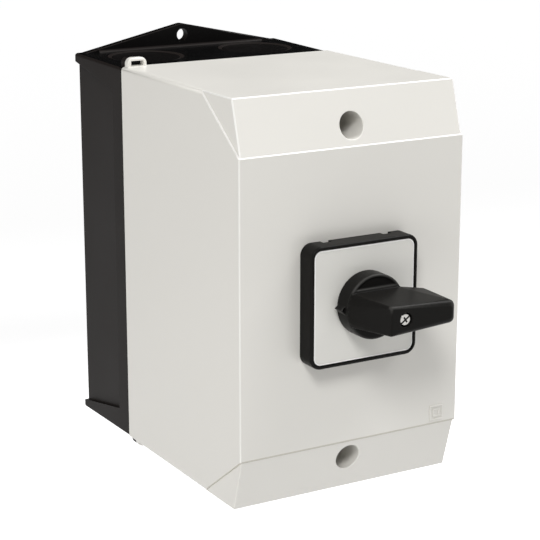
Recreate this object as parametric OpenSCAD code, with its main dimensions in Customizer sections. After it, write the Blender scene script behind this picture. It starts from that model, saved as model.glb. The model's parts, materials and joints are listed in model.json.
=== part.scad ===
// Rotary isolator switch in a two-part insulated enclosure.
// The origin is the centre of the rear face. +Y points into the wall, +X is to the right seen from
// the front and +Z is up. Depths are measured forwards from the wall, so a depth d lies at y = -d.

/* [Enclosure] */
// Width of the enclosure across its sides
case_w = 100; // [84:1:130]
// Height of the cover
case_h = 160; // [134:1:210]
// Depth of the base, from the wall to the parting line
base_d = 46.5; // [42:0.5:56]
// Depth of the cover, from the parting line to the front panel
cover_d = 98.5; // [85:0.5:140]
// Wall thickness of the cover
cover_wall = 2.8; // [2:0.1:3.6]
// Wall thickness of the base
base_wall = 3; // [2.4:0.1:3.6]
// Radius of the cover's long corners
corner_r = 2.2; // [1:0.1:3]
// Radius of the base's long corners
base_r = 1.2; // [0.6:0.1:2]
// How far the base stands back from the cover at the parting line
base_step = 0.6; // [0.2:0.1:1]
// How far the end walls of the base spread towards the wall
base_flare = 0.6; // [0.2:0.1:3]
// How far the hollowed sides of the base lie inside its ends
side_sink = 1.8; // [0.6:0.1:2]
// Height of the sloping ends of the front panel
slope_h = 21.35; // [19:0.05:28]
// How far the sloping ends fall back at the top and bottom edges
slope_d = 6.2; // [3:0.1:10]
// How far the step on the sides runs back from the front panel
step_run = 29.4; // [12:0.1:40]
// Depth of the step on the sides
step_w = 0.75; // [0.3:0.05:1.2]

/* [Wall fixing] */
// Distance of the wall screws beyond the end faces
lug_reach = 5.1; // [4:0.1:10]
// Diameter of the wall screw holes
lug_hole = 5.2; // [4:0.1:7]
// Radius of the lug around its hole
lug_r = 4.8; // [4.2:0.1:7]
// Thickness of the lugs
lug_t = 4.2; // [2:0.1:5]

/* [Cable entries] */
// Radius of the knock-outs
knockout_r = 16.2; // [8:0.1:16.5]
// Distance from a knock-out to the side of the enclosure
knockout_edge = 7.3; // [4:0.1:9]

/* [Cover screws] */
// Distance of the cover screws from the end faces
screw_edge = 13.7; // [12:0.1:17]
// Radius of the deep screw recesses
well_r = 5.2; // [5:0.1:6.3]
// Radius of the screw thread
screw_r = 2.5; // [2:0.1:3]

/* [Operating front] */
// Width and height of the bezel
bezel_w = 48; // [44:1:60]
// Depth of the bezel in front of the panel
bezel_d = 8.4; // [7:0.1:12]
// Corner radius of the bezel
bezel_r = 4.6; // [3:0.1:6]
// Rim of the bezel around the legend plate
bezel_rim = 1.4; // [1:0.1:2.5]
// Thickness of the legend plate
legend_t = 0.8; // [0.5:0.1:1.5]
// Radius of the knob's disc
disc_r = 12.75; // [11:0.05:16]
// Height of the knob's disc
disc_h = 7.7; // [6:0.1:10]
// Height of the grip in front of the disc
grip_h = 19.95; // [12:0.05:24]
// Reach of the grip's long end from the axis
grip_reach = 22.6; // [16:0.1:30]
// Radius of the knob's neck in its bearing
neck_r = 8; // [7:0.1:9.6]
// Width across the flats of the drive shaft
shaft_w = 6; // [5:0.1:7.2]

/* [Switch] */
// Width and height of the switch block
block_w = 46; // [44:0.1:56]
// Depth of one contact chamber
chamber_d = 14; // [12:0.1:17]
// Largest radius of the cams
cam_r = 8.5; // [7.1:0.1:10.2]
// Lift of the cams, which is also the travel of the contacts
cam_lift = 2.5; // [1.5:0.1:3]
// Length of the mounting rail
rail_l = 60; // [56:1:76]

/* [Hidden] */
$fn = 96;
// Clearances: running fit, sliding fit, snug seat, room beside moving pieces, closed contacts
run_gap = 0.06;
slide_gap = 0.15;
snug = 0.05;
air_gap = 0.4;
nose_gap = 0.3;
contact_gap = 0.1;
// Overshoot of cuts, so that no skin is left
past = 1;

// Enclosure
half_w = case_w / 2;
half_h = case_h / 2;
front_d = base_d + cover_d;
parting_gap = 0.15;
cover_back = base_d + parting_gap;
base_half_w = half_w - base_step / 2;
base_front_h = half_h - base_step;
base_rear_h = base_front_h + base_flare;
flare_angle = atan(base_flare / base_d);
ear_rear = 3.55;
ear_front = 9.9;
scoop_d = base_d - 9.5;
scoop_rear_h = base_rear_h - ear_rear;
scoop_front_h = base_front_h - ear_front;
cover_in_w = half_w - cover_wall;
cover_in_h = half_h - cover_wall;
mark_edge = [9.7, 25.9];
mark_sizes = [6.3, 3.3];
mark_line = 0.6;
mark_relief = 0.4;

// Wall lugs and knock-outs
lug_z = base_rear_h + lug_reach;
lug_foot_x = half_w - 3.5;
knockout_x = half_w - knockout_edge - knockout_r;
knockout_d = lug_t + 1.6 + knockout_r;
knockout_z = base_rear_h - base_flare * knockout_d / base_d;
knockout_sink = 0.4;
knockout_groove = 1.2;
knockout_line = 0.3;
knockout_slope = 0.9;

// Rim joint: a tongue on the base stands in a groove of the cover, against the seal
tongue_h = 5;
tongue_t = 2.2;
tongue_gap = 0.4;
tongue_w = cover_in_w - tongue_gap;
tongue_tall = cover_in_h - tongue_gap;
tongue_root_w = base_half_w - base_wall / 2;
tongue_root_tall = base_front_h - base_wall / 2;
groove_w = tongue_t + 1;
groove_rib = 2;
groove_floor = 2;
seal_h = 4.4;
seal_clear = 0.3;
seal_back = base_d + tongue_h + contact_gap;
seal_front = seal_back + seal_h;

// Sloping ends of the cover: their corner radius, and how far they lie below the edge of the panel
ends_r = 0.6;
ends_sink = 0.45;

// Sealing eyelets, one behind the other across the parting line
eyelet_x = 5.95 - half_w;
eyelet_low_x = eyelet_x + 1.3;
eyelet_w = 8.7;
eyelet_t = 3.3;
eyelet_foot = half_h - 1.4;
eyelet_top = half_h + 3.7;
eyelet_r = 2.5;
eyelet_slot_w = 5.6;
eyelet_slot_h = 2.05;
eyelet_slot_z = half_h + 0.35;

// Cover screws and what they go through
screw_z = half_h - screw_edge;
well_wall = 2.4;
well_rib = 2.4;
well_floor = base_d + 11;
tube_back = base_d + past;
insert_r = screw_r + 1.1;
insert_l = 12;
pillar_r = insert_r + 2.4;
pillar_front = base_d - past;
insert_back = pillar_front - insert_l;
screw_head_r = well_r - 1;
screw_head_h = 4;
washer_t = 0.9;
washer_r = well_r - 0.4;

// Bezel and legend plate
bezel_front = front_d + bezel_d;
legend_front = bezel_front - 0.4;
legend_back = legend_front - legend_t;
plate_back = legend_back - 2;
bezel_wall = 2;
hub_r = neck_r + 3;
hub_back = front_d - cover_wall - 3;
bearing_r = neck_r + run_gap;
bezel_screw_at = bezel_w / 2 - 8.5;
bezel_screw_r = 1.5;
bezel_screw_head = 2.6;
bezel_screw_h = 1.8;
bezel_screw_seat = legend_back - 2;
bezel_post_r = 4;
bezel_boss_l = 6;
bezel_seal_t = 1.2;
bezel_seal_w = 2;
notch_at = 13.5;
notch_w = 3.8;
notch_h = 1;
notch_d = 2.6;

// Knob, its neck and its screw
disc_back = legend_front + air_gap;
disc_front = disc_back + disc_h;
disc_lip = 0.7;
grip_front = disc_front + grip_h;
grip_edge = 2.3;
grip_left_edge = 0.8;
grip_band = 6.6;
grip_left = -6.8;
grip_front_band = 5.7;
grip_tip_band = 4.55;
grip_tail_band = 4.8;
grip_tail_back = disc_front - 1.4;
moon_band = grip_band + 0.9;
moon_lip = 1.0;
moon_sink = 0.5;
pointer_tip = disc_r + 1.9;
pointer_half = 2.6;
pointer_back = 1.2;
pointer_l = 5.9;
pointer_pocket = 1.6;
pointer_wall = 0.8;
neck_back = hub_back - 2.6;
ring_front = hub_back - air_gap;
ring_t = 0.8;
ring_r = neck_r + 1.8;
ring_gap = 2.4;
ring_groove_r = neck_r - 1;
oring_r = 0.9;
oring_d = front_d - 0.5;
shaft_front = grip_front - 5;
shaft_socket = shaft_w / 2 + snug;
handle_screw_r = 1.3;
handle_screw_l = 7;
handle_head_r = 2.3;
handle_head_h = 1.6;
handle_recess_r = 2.75;
handle_seat = grip_front - 2.2;
drive_turn = -35;
drive_slot = 0.7;
drive_cross = 1.25;
drive_depth = 0.6;

// Switch block on its rail, from the wall forwards
rail_back = base_wall + 5;
rail_h = 7.5;
rail_w = 35;
rail_hat = 27;
rail_t = 1;
rail_front = rail_back + rail_h;
rail_screw_x = rail_l / 2 - 8;
rail_screw_r = 1.6;
rail_screw_end = 2;
rail_boss_r = 5;
small_head_r = 3.2;
small_head_h = 2;
foot_d = 8.5;
stack_back = rail_front + foot_d;
floor_t = 2;
chambers = 3;
stack_front = stack_back + chambers * chamber_d;
latch_front = stack_front + chamber_d;
socket_front = latch_front + 12;
half_block = block_w / 2;
cam_shaft_w = 7;
cam_shaft_seat = cam_shaft_w / 2 + snug;
cam_shaft_r = cam_shaft_w * sqrt(0.5);
cam_shaft_front = latch_front + 3;
journal_r = 3;
journal_l = 3.7;
socket_hub_r = 8;
socket_r = 10;
shaft_back = latch_front + 4.5;
tie_at = half_block - 4;
tie_r = 2;
tie_head_r = 3.6;
tie_head_h = 2.4;
nut_r = 3.9;
nut_l = 3.1;
nut_pocket = 4;

// Contacts, measured outwards from the axis along X at the open position
cam_hole_r = cam_r + 0.7;
cam_step = 6;
nose_r = 2;
nose_x = cam_r + nose_gap;
plunger_l = 5.4;
plunger_half = 4;
plunger_flange = [1.6, 3.4];
plunger_pin_r = 1.2;
plunger_pin_l = 2.4;
bridge_back = nose_x + plunger_l;
bridge_t = 1.5;
bridge_w = 6;
bridge_z = 12.6;
tip_r = 2;
tip_t = 0.5;
pad_front = bridge_back - tip_t - cam_lift - contact_gap;
strip_t = 1.2;
strip_x = pad_front - tip_t - strip_t;
strip_w = 6;
strip_z = [6.5, half_block + 8];
tip_z = (strip_z[0] + bridge_z) / 2;
cavity_x = half_block - 1.5;
cavity_z = 15.5;
plunger_room = 4.4;
barrier = 1.6;
terminal_z = half_block + 4;
terminal_r = 1.6;
terminal_nut = 2.4;
clamp_half = 3;
clamp_t = 1.2;
clamp_head_r = 2.7;
clamp_head_h = 2.2;
spring_wire = 0.28;
spring_mean = 2.3;
spring_turns = 4;

// Detent: a star wheel between two sprung leaves
star_r = 8.8;
star_back = stack_front + 0.5;
star_front = latch_front - 3.5;
detent_r = 1.6;
detent_z = star_r + 0.6;
leaf_t = 0.8;
leaf_half = 17.9;
leaf_room = [leaf_half + 0.1, 13];

// Rail latch and its spring
latch_half = 6;
latch_t = 2;
latch_top = -6;
latch_low = -half_block - 3;
latch_back = rail_front + air_gap;
latch_slot = [2, 1.6];
latch_web = 2.4;
hook_lap = 1.7;
hook_t = 1.8;
hook_back = rail_front - rail_t - slide_gap - hook_t;
latch_spring_top = 4;
latch_spring_mean = 1.5;
latch_spring_wire = 0.3;
latch_spring_turns = 6;
latch_spring_room = 2.2;
latch_spring_d = latch_back + latch_t / 2 + 0.3;

// Earth terminal on its boss
earth_at = [17 - half_w, -46];
earth_boss_r = 4.5;
earth_back = base_wall + 6;
earth_block = [10, 9, 8];
earth_wire_r = 2.2;

SIDES = ["left", "right"];

black = [0.09, 0.09, 0.09];
grey = [0.85, 0.84, 0.81];
dark_rubber = [0.14, 0.14, 0.15];
zinc = [0.72, 0.72, 0.7];
brass = [0.75, 0.6, 0.3];
copper = [0.72, 0.45, 0.3];
moulding = [0.2, 0.2, 0.21];
nylon = [0.86, 0.85, 0.8];

// Extrudes an outline in X and Z forwards, from one depth to another
module forward(from, to) {
    translate([0, -from, 0])
        rotate([90, 0, 0])
            linear_extrude(to - from)
                children();
}

// Turns a profile of radius and depth round the switch axis
module round_axis() {
    rotate([90, 0, 0])
        rotate_extrude()
            children();
}

// Extrudes an outline in Y and Z across the width, to both sides of the middle
module across(half) {
    translate([-half, 0, 0])
        rotate([90, 0, 90])
            linear_extrude(2 * half)
                children();
}

// Extrudes an outline in X and Y upwards, to both sides of the middle
module upright(half) {
    translate([0, 0, -half])
        linear_extrude(2 * half)
            children();
}

// Round bar along the depth
module rod(r, from, to) {
    translate([0, -from, 0])
        rotate([90, 0, 0])
            cylinder(r = r, h = to - from);
}

// Hexagonal bar along the depth
module hex_rod(r, from, to) {
    translate([0, -from, 0])
        rotate([90, 0, 0])
            cylinder(r = r, h = to - from, $fn = 6);
}

// Round bar outwards along X
module rod_x(r, from, to) {
    translate([from, 0, 0])
        rotate([0, 90, 0])
            cylinder(r = r, h = to - from);
}

// Box between two values of X, two depths and two values of Z
module block(x, d, z) {
    translate([x[0], -d[1], z[0]])
        cube([x[1] - x[0], d[1] - d[0], z[1] - z[0]]);
}

// Square bar along the switch axis
module square_bar(half, from, to) {
    block([-half, half], [from, to], [-half, half]);
}

// Rectangle with round corners
module round_rect(w, h, r) {
    square([w - 2 * r, h], center = true);
    square([w, h - 2 * r], center = true);
    for (x = [-1, 1], z = [-1, 1])
        translate([x * (w / 2 - r), z * (h / 2 - r)])
            circle(r);
}

// Frame with round corners, from its half width, half height and thickness
module rim(w, h, t, r) {
    difference() {
        round_rect(2 * w, 2 * h, r);
        round_rect(2 * (w - t), 2 * (h - t), r / 2);
    }
}

// The same piece above and below the middle
module top_and_bottom() {
    children();
    mirror([0, 0, 1])
        children();
}

// The same piece on the right and on the left
module both_sides() {
    children();
    mirror([1, 0, 0])
        children();
}

// The same piece at the four corners of a square
module four_corners(at) {
    for (x = [-1, 1], z = [-1, 1])
        translate([x * at, 0, z * at])
            children();
}

// The same piece at two opposite corners of the bezel
module bezel_corners() {
    for (s = [-1, 1])
        translate([s * bezel_screw_at, 0, s * bezel_screw_at])
            children();
}

// The same piece on both cover screw axes
module at_cover_screws() {
    top_and_bottom()
        translate([0, 0, screw_z])
            children();
}

// The same piece on the earth terminal's axis
module at_earth() {
    translate([earth_at[0], 0, earth_at[1]])
        children();
}

// A contact's pieces are drawn for the right-hand side, and mirrored for the left
module on_side(side) {
    if (side == "right")
        children();
    else
        mirror([1, 0, 0])
            children();
}

// Screw along the depth: a round head with a slot, on a plain shank
module slotted_screw(head_r, head_h, shank_r, seat, tip) {
    slot_half = head_r / 8;
    slot_back = seat + 0.55 * head_h;
    difference() {
        union() {
            rod(head_r, seat, seat + head_h);
            rod(shank_r, tip, seat + head_h / 2);
        }
        block([-head_r - past, head_r + past], [slot_back, seat + head_h + past], [-slot_half, slot_half]);
    }
}

// Wire coil that rises along Z, as one tube of six sides with eight rings to a turn
module coil(length, mean_r, wire_r, turns) {
    rings = ceil(turns * 8);
    rise = length - 2 * wire_r;
    points = [
        for (i = [0:rings], k = [0:5])
            let (turn = 360 * turns * i / rings, r = mean_r + wire_r * cos(60 * k))
            [r * cos(turn), r * sin(turn), wire_r + rise * i / rings + wire_r * sin(60 * k)]
    ];
    walls = [
        for (i = [0:rings - 1], k = [0:5])
            let (a = 6 * i + k, b = 6 * i + (k + 1) % 6)
            each [[b + 6, b, a], [a + 6, b + 6, a]]
    ];
    last = 6 * rings;
    ends = [
        for (k = [1:4])
            each [[k, k + 1, 0], [last + k + 1, last + k, last]]
    ];
    gaps = [
        for (i = [0:rings - 8], k = [0:5], m = [0:5])
            norm(points[6 * i + k] - points[6 * (i + 8) + m])
    ];
    echo(least_gap = min(gaps));
    polyhedron(points, concat(walls, ends));
}

// Outline of a sealing eyelet at the top edge
module eyelet_outline(x) {
    difference() {
        translate([x, eyelet_top - eyelet_w / 2])
            round_rect(eyelet_w, eyelet_w, eyelet_r);
        translate([x - eyelet_slot_w / 2, eyelet_slot_z])
            square([eyelet_slot_w, eyelet_slot_h]);
        translate([x - eyelet_w, eyelet_foot - 2 * eyelet_w])
            square(2 * eyelet_w);
    }
}

// One eyelet at the top edge and one at the bottom edge
module eyelets(back, front) {
    forward(back, front)
        eyelet_outline(eyelet_x);
    mirror([0, 0, 1])
        forward(back, front)
            eyelet_outline(eyelet_low_x);
}

// Triangular wall lug: straight flanks that touch the round end around the hole
module lug_outline() {
    far = norm([lug_foot_x, lug_reach]);
    reach = acos(lug_r / far) - atan2(lug_reach, lug_foot_x);
    touch = [lug_r * cos(reach), lug_z + lug_r * sin(reach)];
    root = base_front_h - base_wall;
    difference() {
        union() {
            polygon([
                [-lug_foot_x, root], [lug_foot_x, root], [lug_foot_x, base_rear_h],
                touch, [-touch[0], touch[1]], [-lug_foot_x, base_rear_h]
            ]);
            translate([0, lug_z])
                circle(lug_r);
        }
        translate([0, lug_z])
            circle(d = lug_hole);
    }
}

// Outside of the base: straight corners, cut by the spreading end walls
module base_block() {
    intersection() {
        forward(0, base_d)
            round_rect(2 * base_half_w, 2 * base_rear_h, base_r);
        across(half_w)
            polygon([
                [0, -base_rear_h], [-base_d, -base_front_h], [-base_d, base_front_h], [0, base_rear_h]
            ]);
    }
}

// Hollow in the side of the base, between its full-width ends
module side_scoop() {
    floor_x = base_half_w - side_sink;
    intersection() {
        upright(half_h)
            polygon([[half_w + past, past], [floor_x, past], [floor_x, -scoop_d], [half_w + past, -scoop_d]]);
        across(half_w + past)
            polygon([
                [past, -scoop_rear_h], [-scoop_d, -scoop_front_h],
                [-scoop_d, scoop_front_h], [past, scoop_rear_h]
            ]);
    }
}

// Wiring space inside the base
module base_hollow() {
    side_in = base_half_w - side_sink - base_wall;
    rear_tall = base_rear_h - base_wall;
    front_tall = base_front_h - base_wall;
    mouth = -base_d - past;
    intersection() {
        upright(case_h)
            polygon([[-side_in, -base_wall], [side_in, -base_wall], [side_in, mouth], [-side_in, mouth]]);
        across(half_w)
            polygon([
                [-base_wall, -rear_tall], [mouth, -front_tall], [mouth, front_tall], [-base_wall, rear_tall]
            ]);
    }
}

// Thinned round plug in the top wall, with a groove around it
module knockout() {
    translate([knockout_x, -knockout_d, knockout_z])
        rotate([flare_angle, 0, 0]) {
            translate([0, 0, -knockout_sink])
                cylinder(r = knockout_r - knockout_slope * knockout_groove, h = knockout_sink + past);
            rotate_extrude()
                polygon([
                    [knockout_r + knockout_slope * past, past],
                    [knockout_r - knockout_slope * knockout_groove, -knockout_groove],
                    [knockout_r - knockout_slope * knockout_groove - knockout_line, -knockout_groove],
                    [knockout_r - 2 * knockout_slope * knockout_groove - knockout_line, past]
                ]);
        }
}

module base() {
    color(black)
        difference() {
            union() {
                difference() {
                    base_block();
                    both_sides()
                        side_scoop();
                    base_hollow();
                }
                forward(base_d - tongue_h, base_d)
                    rim(tongue_root_w, tongue_root_tall, tongue_root_w - tongue_w + tongue_t, corner_r);
                forward(base_d - past, base_d + tongue_h)
                    rim(tongue_w, tongue_tall, tongue_t, corner_r);
                top_and_bottom()
                    forward(0, lug_t)
                        lug_outline();
                eyelets(base_d - eyelet_t, base_d);
                at_cover_screws()
                    rod(pillar_r, base_wall - past, pillar_front);
                both_sides()
                    translate([rail_screw_x, 0, 0])
                        rod(rail_boss_r, base_wall - past, rail_back);
                at_earth()
                    rod(earth_boss_r, base_wall - past, earth_back);
            }
            top_and_bottom()
                both_sides()
                    knockout();
            at_cover_screws()
                rod(insert_r, insert_back, pillar_front + past);
            both_sides()
                translate([rail_screw_x, 0, 0])
                    rod(rail_screw_r + slide_gap, rail_screw_end - air_gap, rail_back + past);
            at_earth()
                rod(rail_screw_r + slide_gap, base_wall, earth_back + past);
        }
}

module thread_inserts() {
    color(brass)
        at_cover_screws()
            difference() {
                rod(insert_r, insert_back, pillar_front);
                rod(screw_r + run_gap, insert_back - past, pillar_front + past);
            }
}

module din_rail() {
    hat = rail_hat / 2;
    half = rail_w / 2;
    lip = rail_front - rail_t;
    web = rail_back + rail_t;
    color(zinc)
        difference() {
            across(rail_l / 2)
                polygon([
                    [-rail_back, -hat], [-lip, -hat], [-lip, -half], [-rail_front, -half],
                    [-rail_front, rail_t - hat], [-web, rail_t - hat], [-web, hat - rail_t],
                    [-rail_front, hat - rail_t], [-rail_front, half], [-lip, half], [-lip, hat],
                    [-rail_back, hat]
                ]);
            both_sides()
                translate([rail_screw_x, 0, 0])
                    rod(rail_screw_r + slide_gap, rail_back - past, web + past);
        }
}

module rail_screws() {
    color(zinc)
        both_sides()
            translate([rail_screw_x, 0, 0])
                slotted_screw(small_head_r, small_head_h, rail_screw_r, rail_back + rail_t, rail_screw_end);
}

module earth_terminal() {
    half = earth_block[0] / 2;
    tall = earth_block[2] / 2;
    front = earth_back + earth_block[1];
    color(brass)
        at_earth()
            difference() {
                block([-half, half], [earth_back, front], [-tall, tall]);
                translate([0, -earth_back - earth_block[1] * 0.6, -tall - past])
                    cylinder(r = earth_wire_r, h = earth_block[2] + 2 * past);
                rod(rail_screw_r + slide_gap, earth_back - past, front + past);
            }
}

module earth_screw() {
    color(zinc)
        at_earth()
            slotted_screw(small_head_r, small_head_h, rail_screw_r, earth_back + earth_block[1], base_wall + past);
}

// Side outline of the cover, with sloping ends and set in from the front
module sloped_side(back, tall, run, inset) {
    front = inset - front_d;
    polygon([
        [-back, -tall], [front + run, -tall], [front, slope_h - half_h],
        [front, half_h - slope_h], [front + run, tall], [-back, tall]
    ]);
}

// Outside of the cover: the panel and sides, and the narrower sloping ends
module cover_block() {
    intersection() {
        forward(cover_back, front_d)
            round_rect(case_w, case_h, corner_r);
        across(half_w)
            sloped_side(cover_back, half_h, step_run, 0);
    }
    intersection() {
        forward(front_d - step_run, front_d)
            round_rect(case_w - 2 * step_w, case_h, ends_r);
        across(half_w)
            sloped_side(cover_back, half_h, slope_d, ends_sink);
    }
}

module cover_hollow() {
    intersection() {
        forward(cover_back - past, front_d)
            round_rect(2 * cover_in_w, 2 * cover_in_h, corner_r / 2);
        across(half_w)
            sloped_side(cover_back - past, cover_in_h, slope_d * (slope_h - cover_wall) / slope_h, cover_wall);
    }
}

// Square-in-square mark, raised on the panel
module square_mark() {
    translate([half_w - mark_edge[0], 0, mark_edge[1] - half_h])
        for (size = mark_sizes)
            forward(front_d - past, front_d + mark_relief)
                difference() {
                    square(size, center = true);
                    square(size - 2 * mark_line, center = true);
                }
}

// Screw tubes, seal groove and screw bosses inside the cover
module cover_fittings() {
    groove_front = seal_front + groove_floor;
    at_cover_screws()
        rod(well_r + well_wall, tube_back, front_d);
    top_and_bottom()
        block([-well_rib / 2, well_rib / 2], [well_floor, front_d], [screw_z, half_h]);
    forward(seal_front, groove_front)
        rim(cover_in_w + past, cover_in_h + past, groove_w + groove_rib + past, corner_r);
    forward(tube_back, groove_front)
        rim(cover_in_w - groove_w, cover_in_h - groove_w, groove_rib, corner_r);
    bezel_corners()
        rod(bezel_post_r, front_d - bezel_boss_l, front_d);
}

module cover() {
    color(grey)
        difference() {
            union() {
                difference() {
                    cover_block();
                    cover_hollow();
                }
                intersection() {
                    cover_block();
                    cover_fittings();
                }
                eyelets(cover_back, cover_back + eyelet_t);
                square_mark();
            }
            at_cover_screws() {
                rod(well_r, well_floor, front_d + past);
                rod(screw_r + slide_gap, base_d, front_d);
            }
            rod(hub_r + slide_gap, front_d - cover_wall - past, front_d + past);
            bezel_corners()
                rod(bezel_screw_r + run_gap, front_d - bezel_boss_l + past, front_d + past);
        }
}

module cover_seal() {
    color(dark_rubber)
        forward(seal_back, seal_front)
            rim(cover_in_w - seal_clear, cover_in_h - seal_clear, groove_w - 2 * seal_clear, corner_r);
}

module cover_screws() {
    color(zinc)
        at_cover_screws()
            slotted_screw(screw_head_r, screw_head_h, screw_r, well_floor + washer_t, insert_back + past);
}

module screw_washers() {
    color(dark_rubber)
        at_cover_screws()
            difference() {
                rod(washer_r, well_floor, well_floor + washer_t);
                rod(screw_r + slide_gap, well_floor - past, well_floor + washer_t + past);
            }
}

module bezel_frame() {
    inner = bezel_w - 2 * bezel_wall;
    plate = bezel_w - 2 * bezel_rim;
    color(black)
        difference() {
            union() {
                difference() {
                    forward(front_d, bezel_front)
                        round_rect(bezel_w, bezel_w, bezel_r);
                    forward(front_d - past, plate_back)
                        round_rect(inner, inner, bezel_r - bezel_wall);
                }
                rod(hub_r, hub_back, legend_back);
                bezel_corners()
                    rod(bezel_post_r, front_d, legend_back);
            }
            forward(legend_back, bezel_front + past)
                round_rect(plate, plate, bezel_r - bezel_rim);
            rod(bearing_r, hub_back - past, bezel_front);
            bezel_corners() {
                rod(bezel_screw_r + slide_gap, front_d - past, bezel_front);
                rod(bezel_screw_head + slide_gap, bezel_screw_seat, bezel_front);
            }
            for (turn = [0, 180], x = [-notch_at, notch_at])
                rotate([0, turn, 0])
                    block([x - notch_w / 2, x + notch_w / 2], [front_d - past, front_d + notch_d],
                          [bezel_w / 2 - notch_h, bezel_w / 2 + past]);
        }
}

module bezel_seal() {
    outer = bezel_w / 2 - bezel_wall - seal_clear;
    color(dark_rubber)
        forward(front_d, front_d + bezel_seal_t)
            rim(outer, outer, bezel_seal_w, bezel_r - bezel_wall);
}

module bezel_screws() {
    color(zinc)
        bezel_corners()
            slotted_screw(bezel_screw_head, bezel_screw_h, bezel_screw_r, bezel_screw_seat,
                          front_d - bezel_boss_l + past + snug);
}

module legend_plate() {
    size = bezel_w - 2 * bezel_rim - 2 * slide_gap;
    color(grey)
        difference() {
            forward(legend_back, legend_front)
                round_rect(size, size, bezel_r - bezel_rim - slide_gap);
            rod(neck_r + air_gap, legend_back - past, legend_front + past);
        }
}

// Grip: blends from the disc to a narrow bar that reaches further to the right
module grip_block() {
    corners = [
        [grip_left + grip_left_edge, grip_front - grip_left_edge, grip_front_band - grip_left_edge, grip_left_edge],
        [grip_reach - grip_edge, grip_front - grip_edge, grip_tip_band - grip_edge, grip_edge],
        [grip_reach - grip_edge, grip_tail_back + grip_edge, grip_tail_band - grip_edge, grip_edge]
    ];
    hull($fn = 32) {
        intersection() {
            rod(disc_r - 2 * snug, disc_front - past, disc_front);
            block([-disc_r, disc_r - 3], [disc_front - 2 * past, disc_front + past], [-grip_band, grip_band]);
        }
        for (c = corners, s = [-1, 1])
            translate([c[0], -c[1], s * c[2]])
                sphere(c[3]);
    }
}

// Pointer on the rim of the disc, with an open end towards the front
module pointer() {
    root = -disc_r + past;
    inner = pointer_half - pointer_wall;
    difference() {
        forward(disc_back + pointer_back, disc_back + pointer_l)
            polygon([[-pointer_tip, 0], [root, -pointer_half], [root, pointer_half]]);
        forward(disc_back + pointer_l - pointer_pocket, disc_front)
            polygon([[pointer_wall - pointer_tip, 0], [-disc_r, -inner], [-disc_r, inner]]);
    }
}

// Flat sunk into the disc above the grip
module half_moon() {
    intersection() {
        rod(disc_r - moon_lip, disc_front - moon_sink, disc_front + past);
        block([-disc_r, disc_r], [disc_front - past, disc_front + 2 * past], [moon_band, disc_r]);
    }
}

module handle() {
    color(black)
        difference() {
            union() {
                rod(disc_r, disc_back, disc_front - disc_lip);
                rod(disc_r - disc_lip, disc_front - disc_lip - past, disc_front);
                round_axis()
                    translate([disc_r - disc_lip, disc_front - disc_lip])
                        circle(disc_lip);
                grip_block();
                pointer();
                rod(neck_r, neck_back, disc_back + past);
            }
            half_moon();
            rod(handle_recess_r, handle_seat, grip_front + past);
            rod(handle_screw_r + slide_gap, shaft_front - past, grip_front);
            square_bar(shaft_socket, neck_back - past, shaft_front);
            difference() {
                rod(neck_r + past, ring_front - ring_t - run_gap, ring_front);
                rod(ring_groove_r, ring_front - ring_t - past, ring_front + past);
            }
            round_axis()
                translate([neck_r - oring_r, oring_d])
                    square(2 * (oring_r + snug), center = true);
        }
}

module handle_screw() {
    head_front = handle_seat + handle_head_h;
    half = drive_slot / 2;
    color(zinc)
        difference() {
            union() {
                rod(handle_head_r, handle_seat, head_front);
                rod(handle_screw_r, shaft_front - handle_screw_l, handle_seat + handle_head_h / 2);
            }
            rotate([0, drive_turn, 0]) {
                block([-handle_head_r - past, handle_head_r + past],
                      [head_front - drive_depth, head_front + past], [-half, half]);
                block([-half, half], [head_front - 1.5 * drive_depth, head_front + past],
                      [-drive_cross, drive_cross]);
            }
        }
}

module shaft_seal() {
    color(dark_rubber)
        round_axis()
            translate([neck_r - oring_r, oring_d])
                circle(oring_r);
}

module retaining_ring() {
    color(zinc)
        difference() {
            rod(ring_r, ring_front - ring_t, ring_front - run_gap);
            rod(ring_groove_r + run_gap, ring_front - ring_t - past, ring_front + past);
            block([-ring_gap, ring_gap], [ring_front - ring_t - past, ring_front + past], [-ring_r - past, 0]);
        }
}

module drive_shaft() {
    color(zinc)
        difference() {
            square_bar(shaft_w / 2, shaft_back, shaft_front - contact_gap);
            rod(handle_screw_r + run_gap, shaft_front - handle_screw_l - past, shaft_front + past);
        }
}

module switch_foot() {
    hook_z = rail_w / 2 - hook_lap;
    channel = latch_half + slide_gap;
    channel_front = latch_back + latch_t + slide_gap;
    color(moulding)
        difference() {
            union() {
                square_bar(half_block, rail_front, stack_back);
                block([-half_block, half_block], [hook_back, hook_back + hook_t], [hook_z, half_block]);
                block([-half_block, half_block], [hook_back, rail_front + past],
                      [rail_w / 2 + slide_gap, half_block]);
            }
            block([-channel, channel], [rail_front - past, channel_front],
                  [-half_block - past, latch_top + nose_gap]);
            block([-latch_spring_room, latch_spring_room],
                  [rail_front - past, latch_spring_d + latch_spring_room],
                  [latch_top - hook_t, latch_spring_top]);
            four_corners(tie_at) {
                rod(tie_r + slide_gap, rail_front - past, stack_back + past);
                hex_rod(nut_r + air_gap, rail_front - past, rail_front + nut_pocket);
            }
            rod(journal_r + run_gap, stack_back - journal_l - nose_gap, stack_back + past);
        }
}

module rail_latch() {
    hook_z = hook_lap - rail_w / 2;
    web_z = [-rail_w / 2 - air_gap - latch_web, -rail_w / 2 - air_gap];
    x = [-latch_half, latch_half];
    color(nylon)
        difference() {
            union() {
                block(x, [latch_back, latch_back + latch_t], [latch_low, latch_top]);
                block(x, [hook_back, latch_back + past], web_z);
                block(x, [hook_back, hook_back + hook_t], [web_z[0], hook_z]);
            }
            block([-latch_slot[0], latch_slot[0]], [latch_back - past, latch_back + latch_t + past],
                  [latch_low + latch_slot[1], -half_block - slide_gap]);
        }
}

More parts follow.
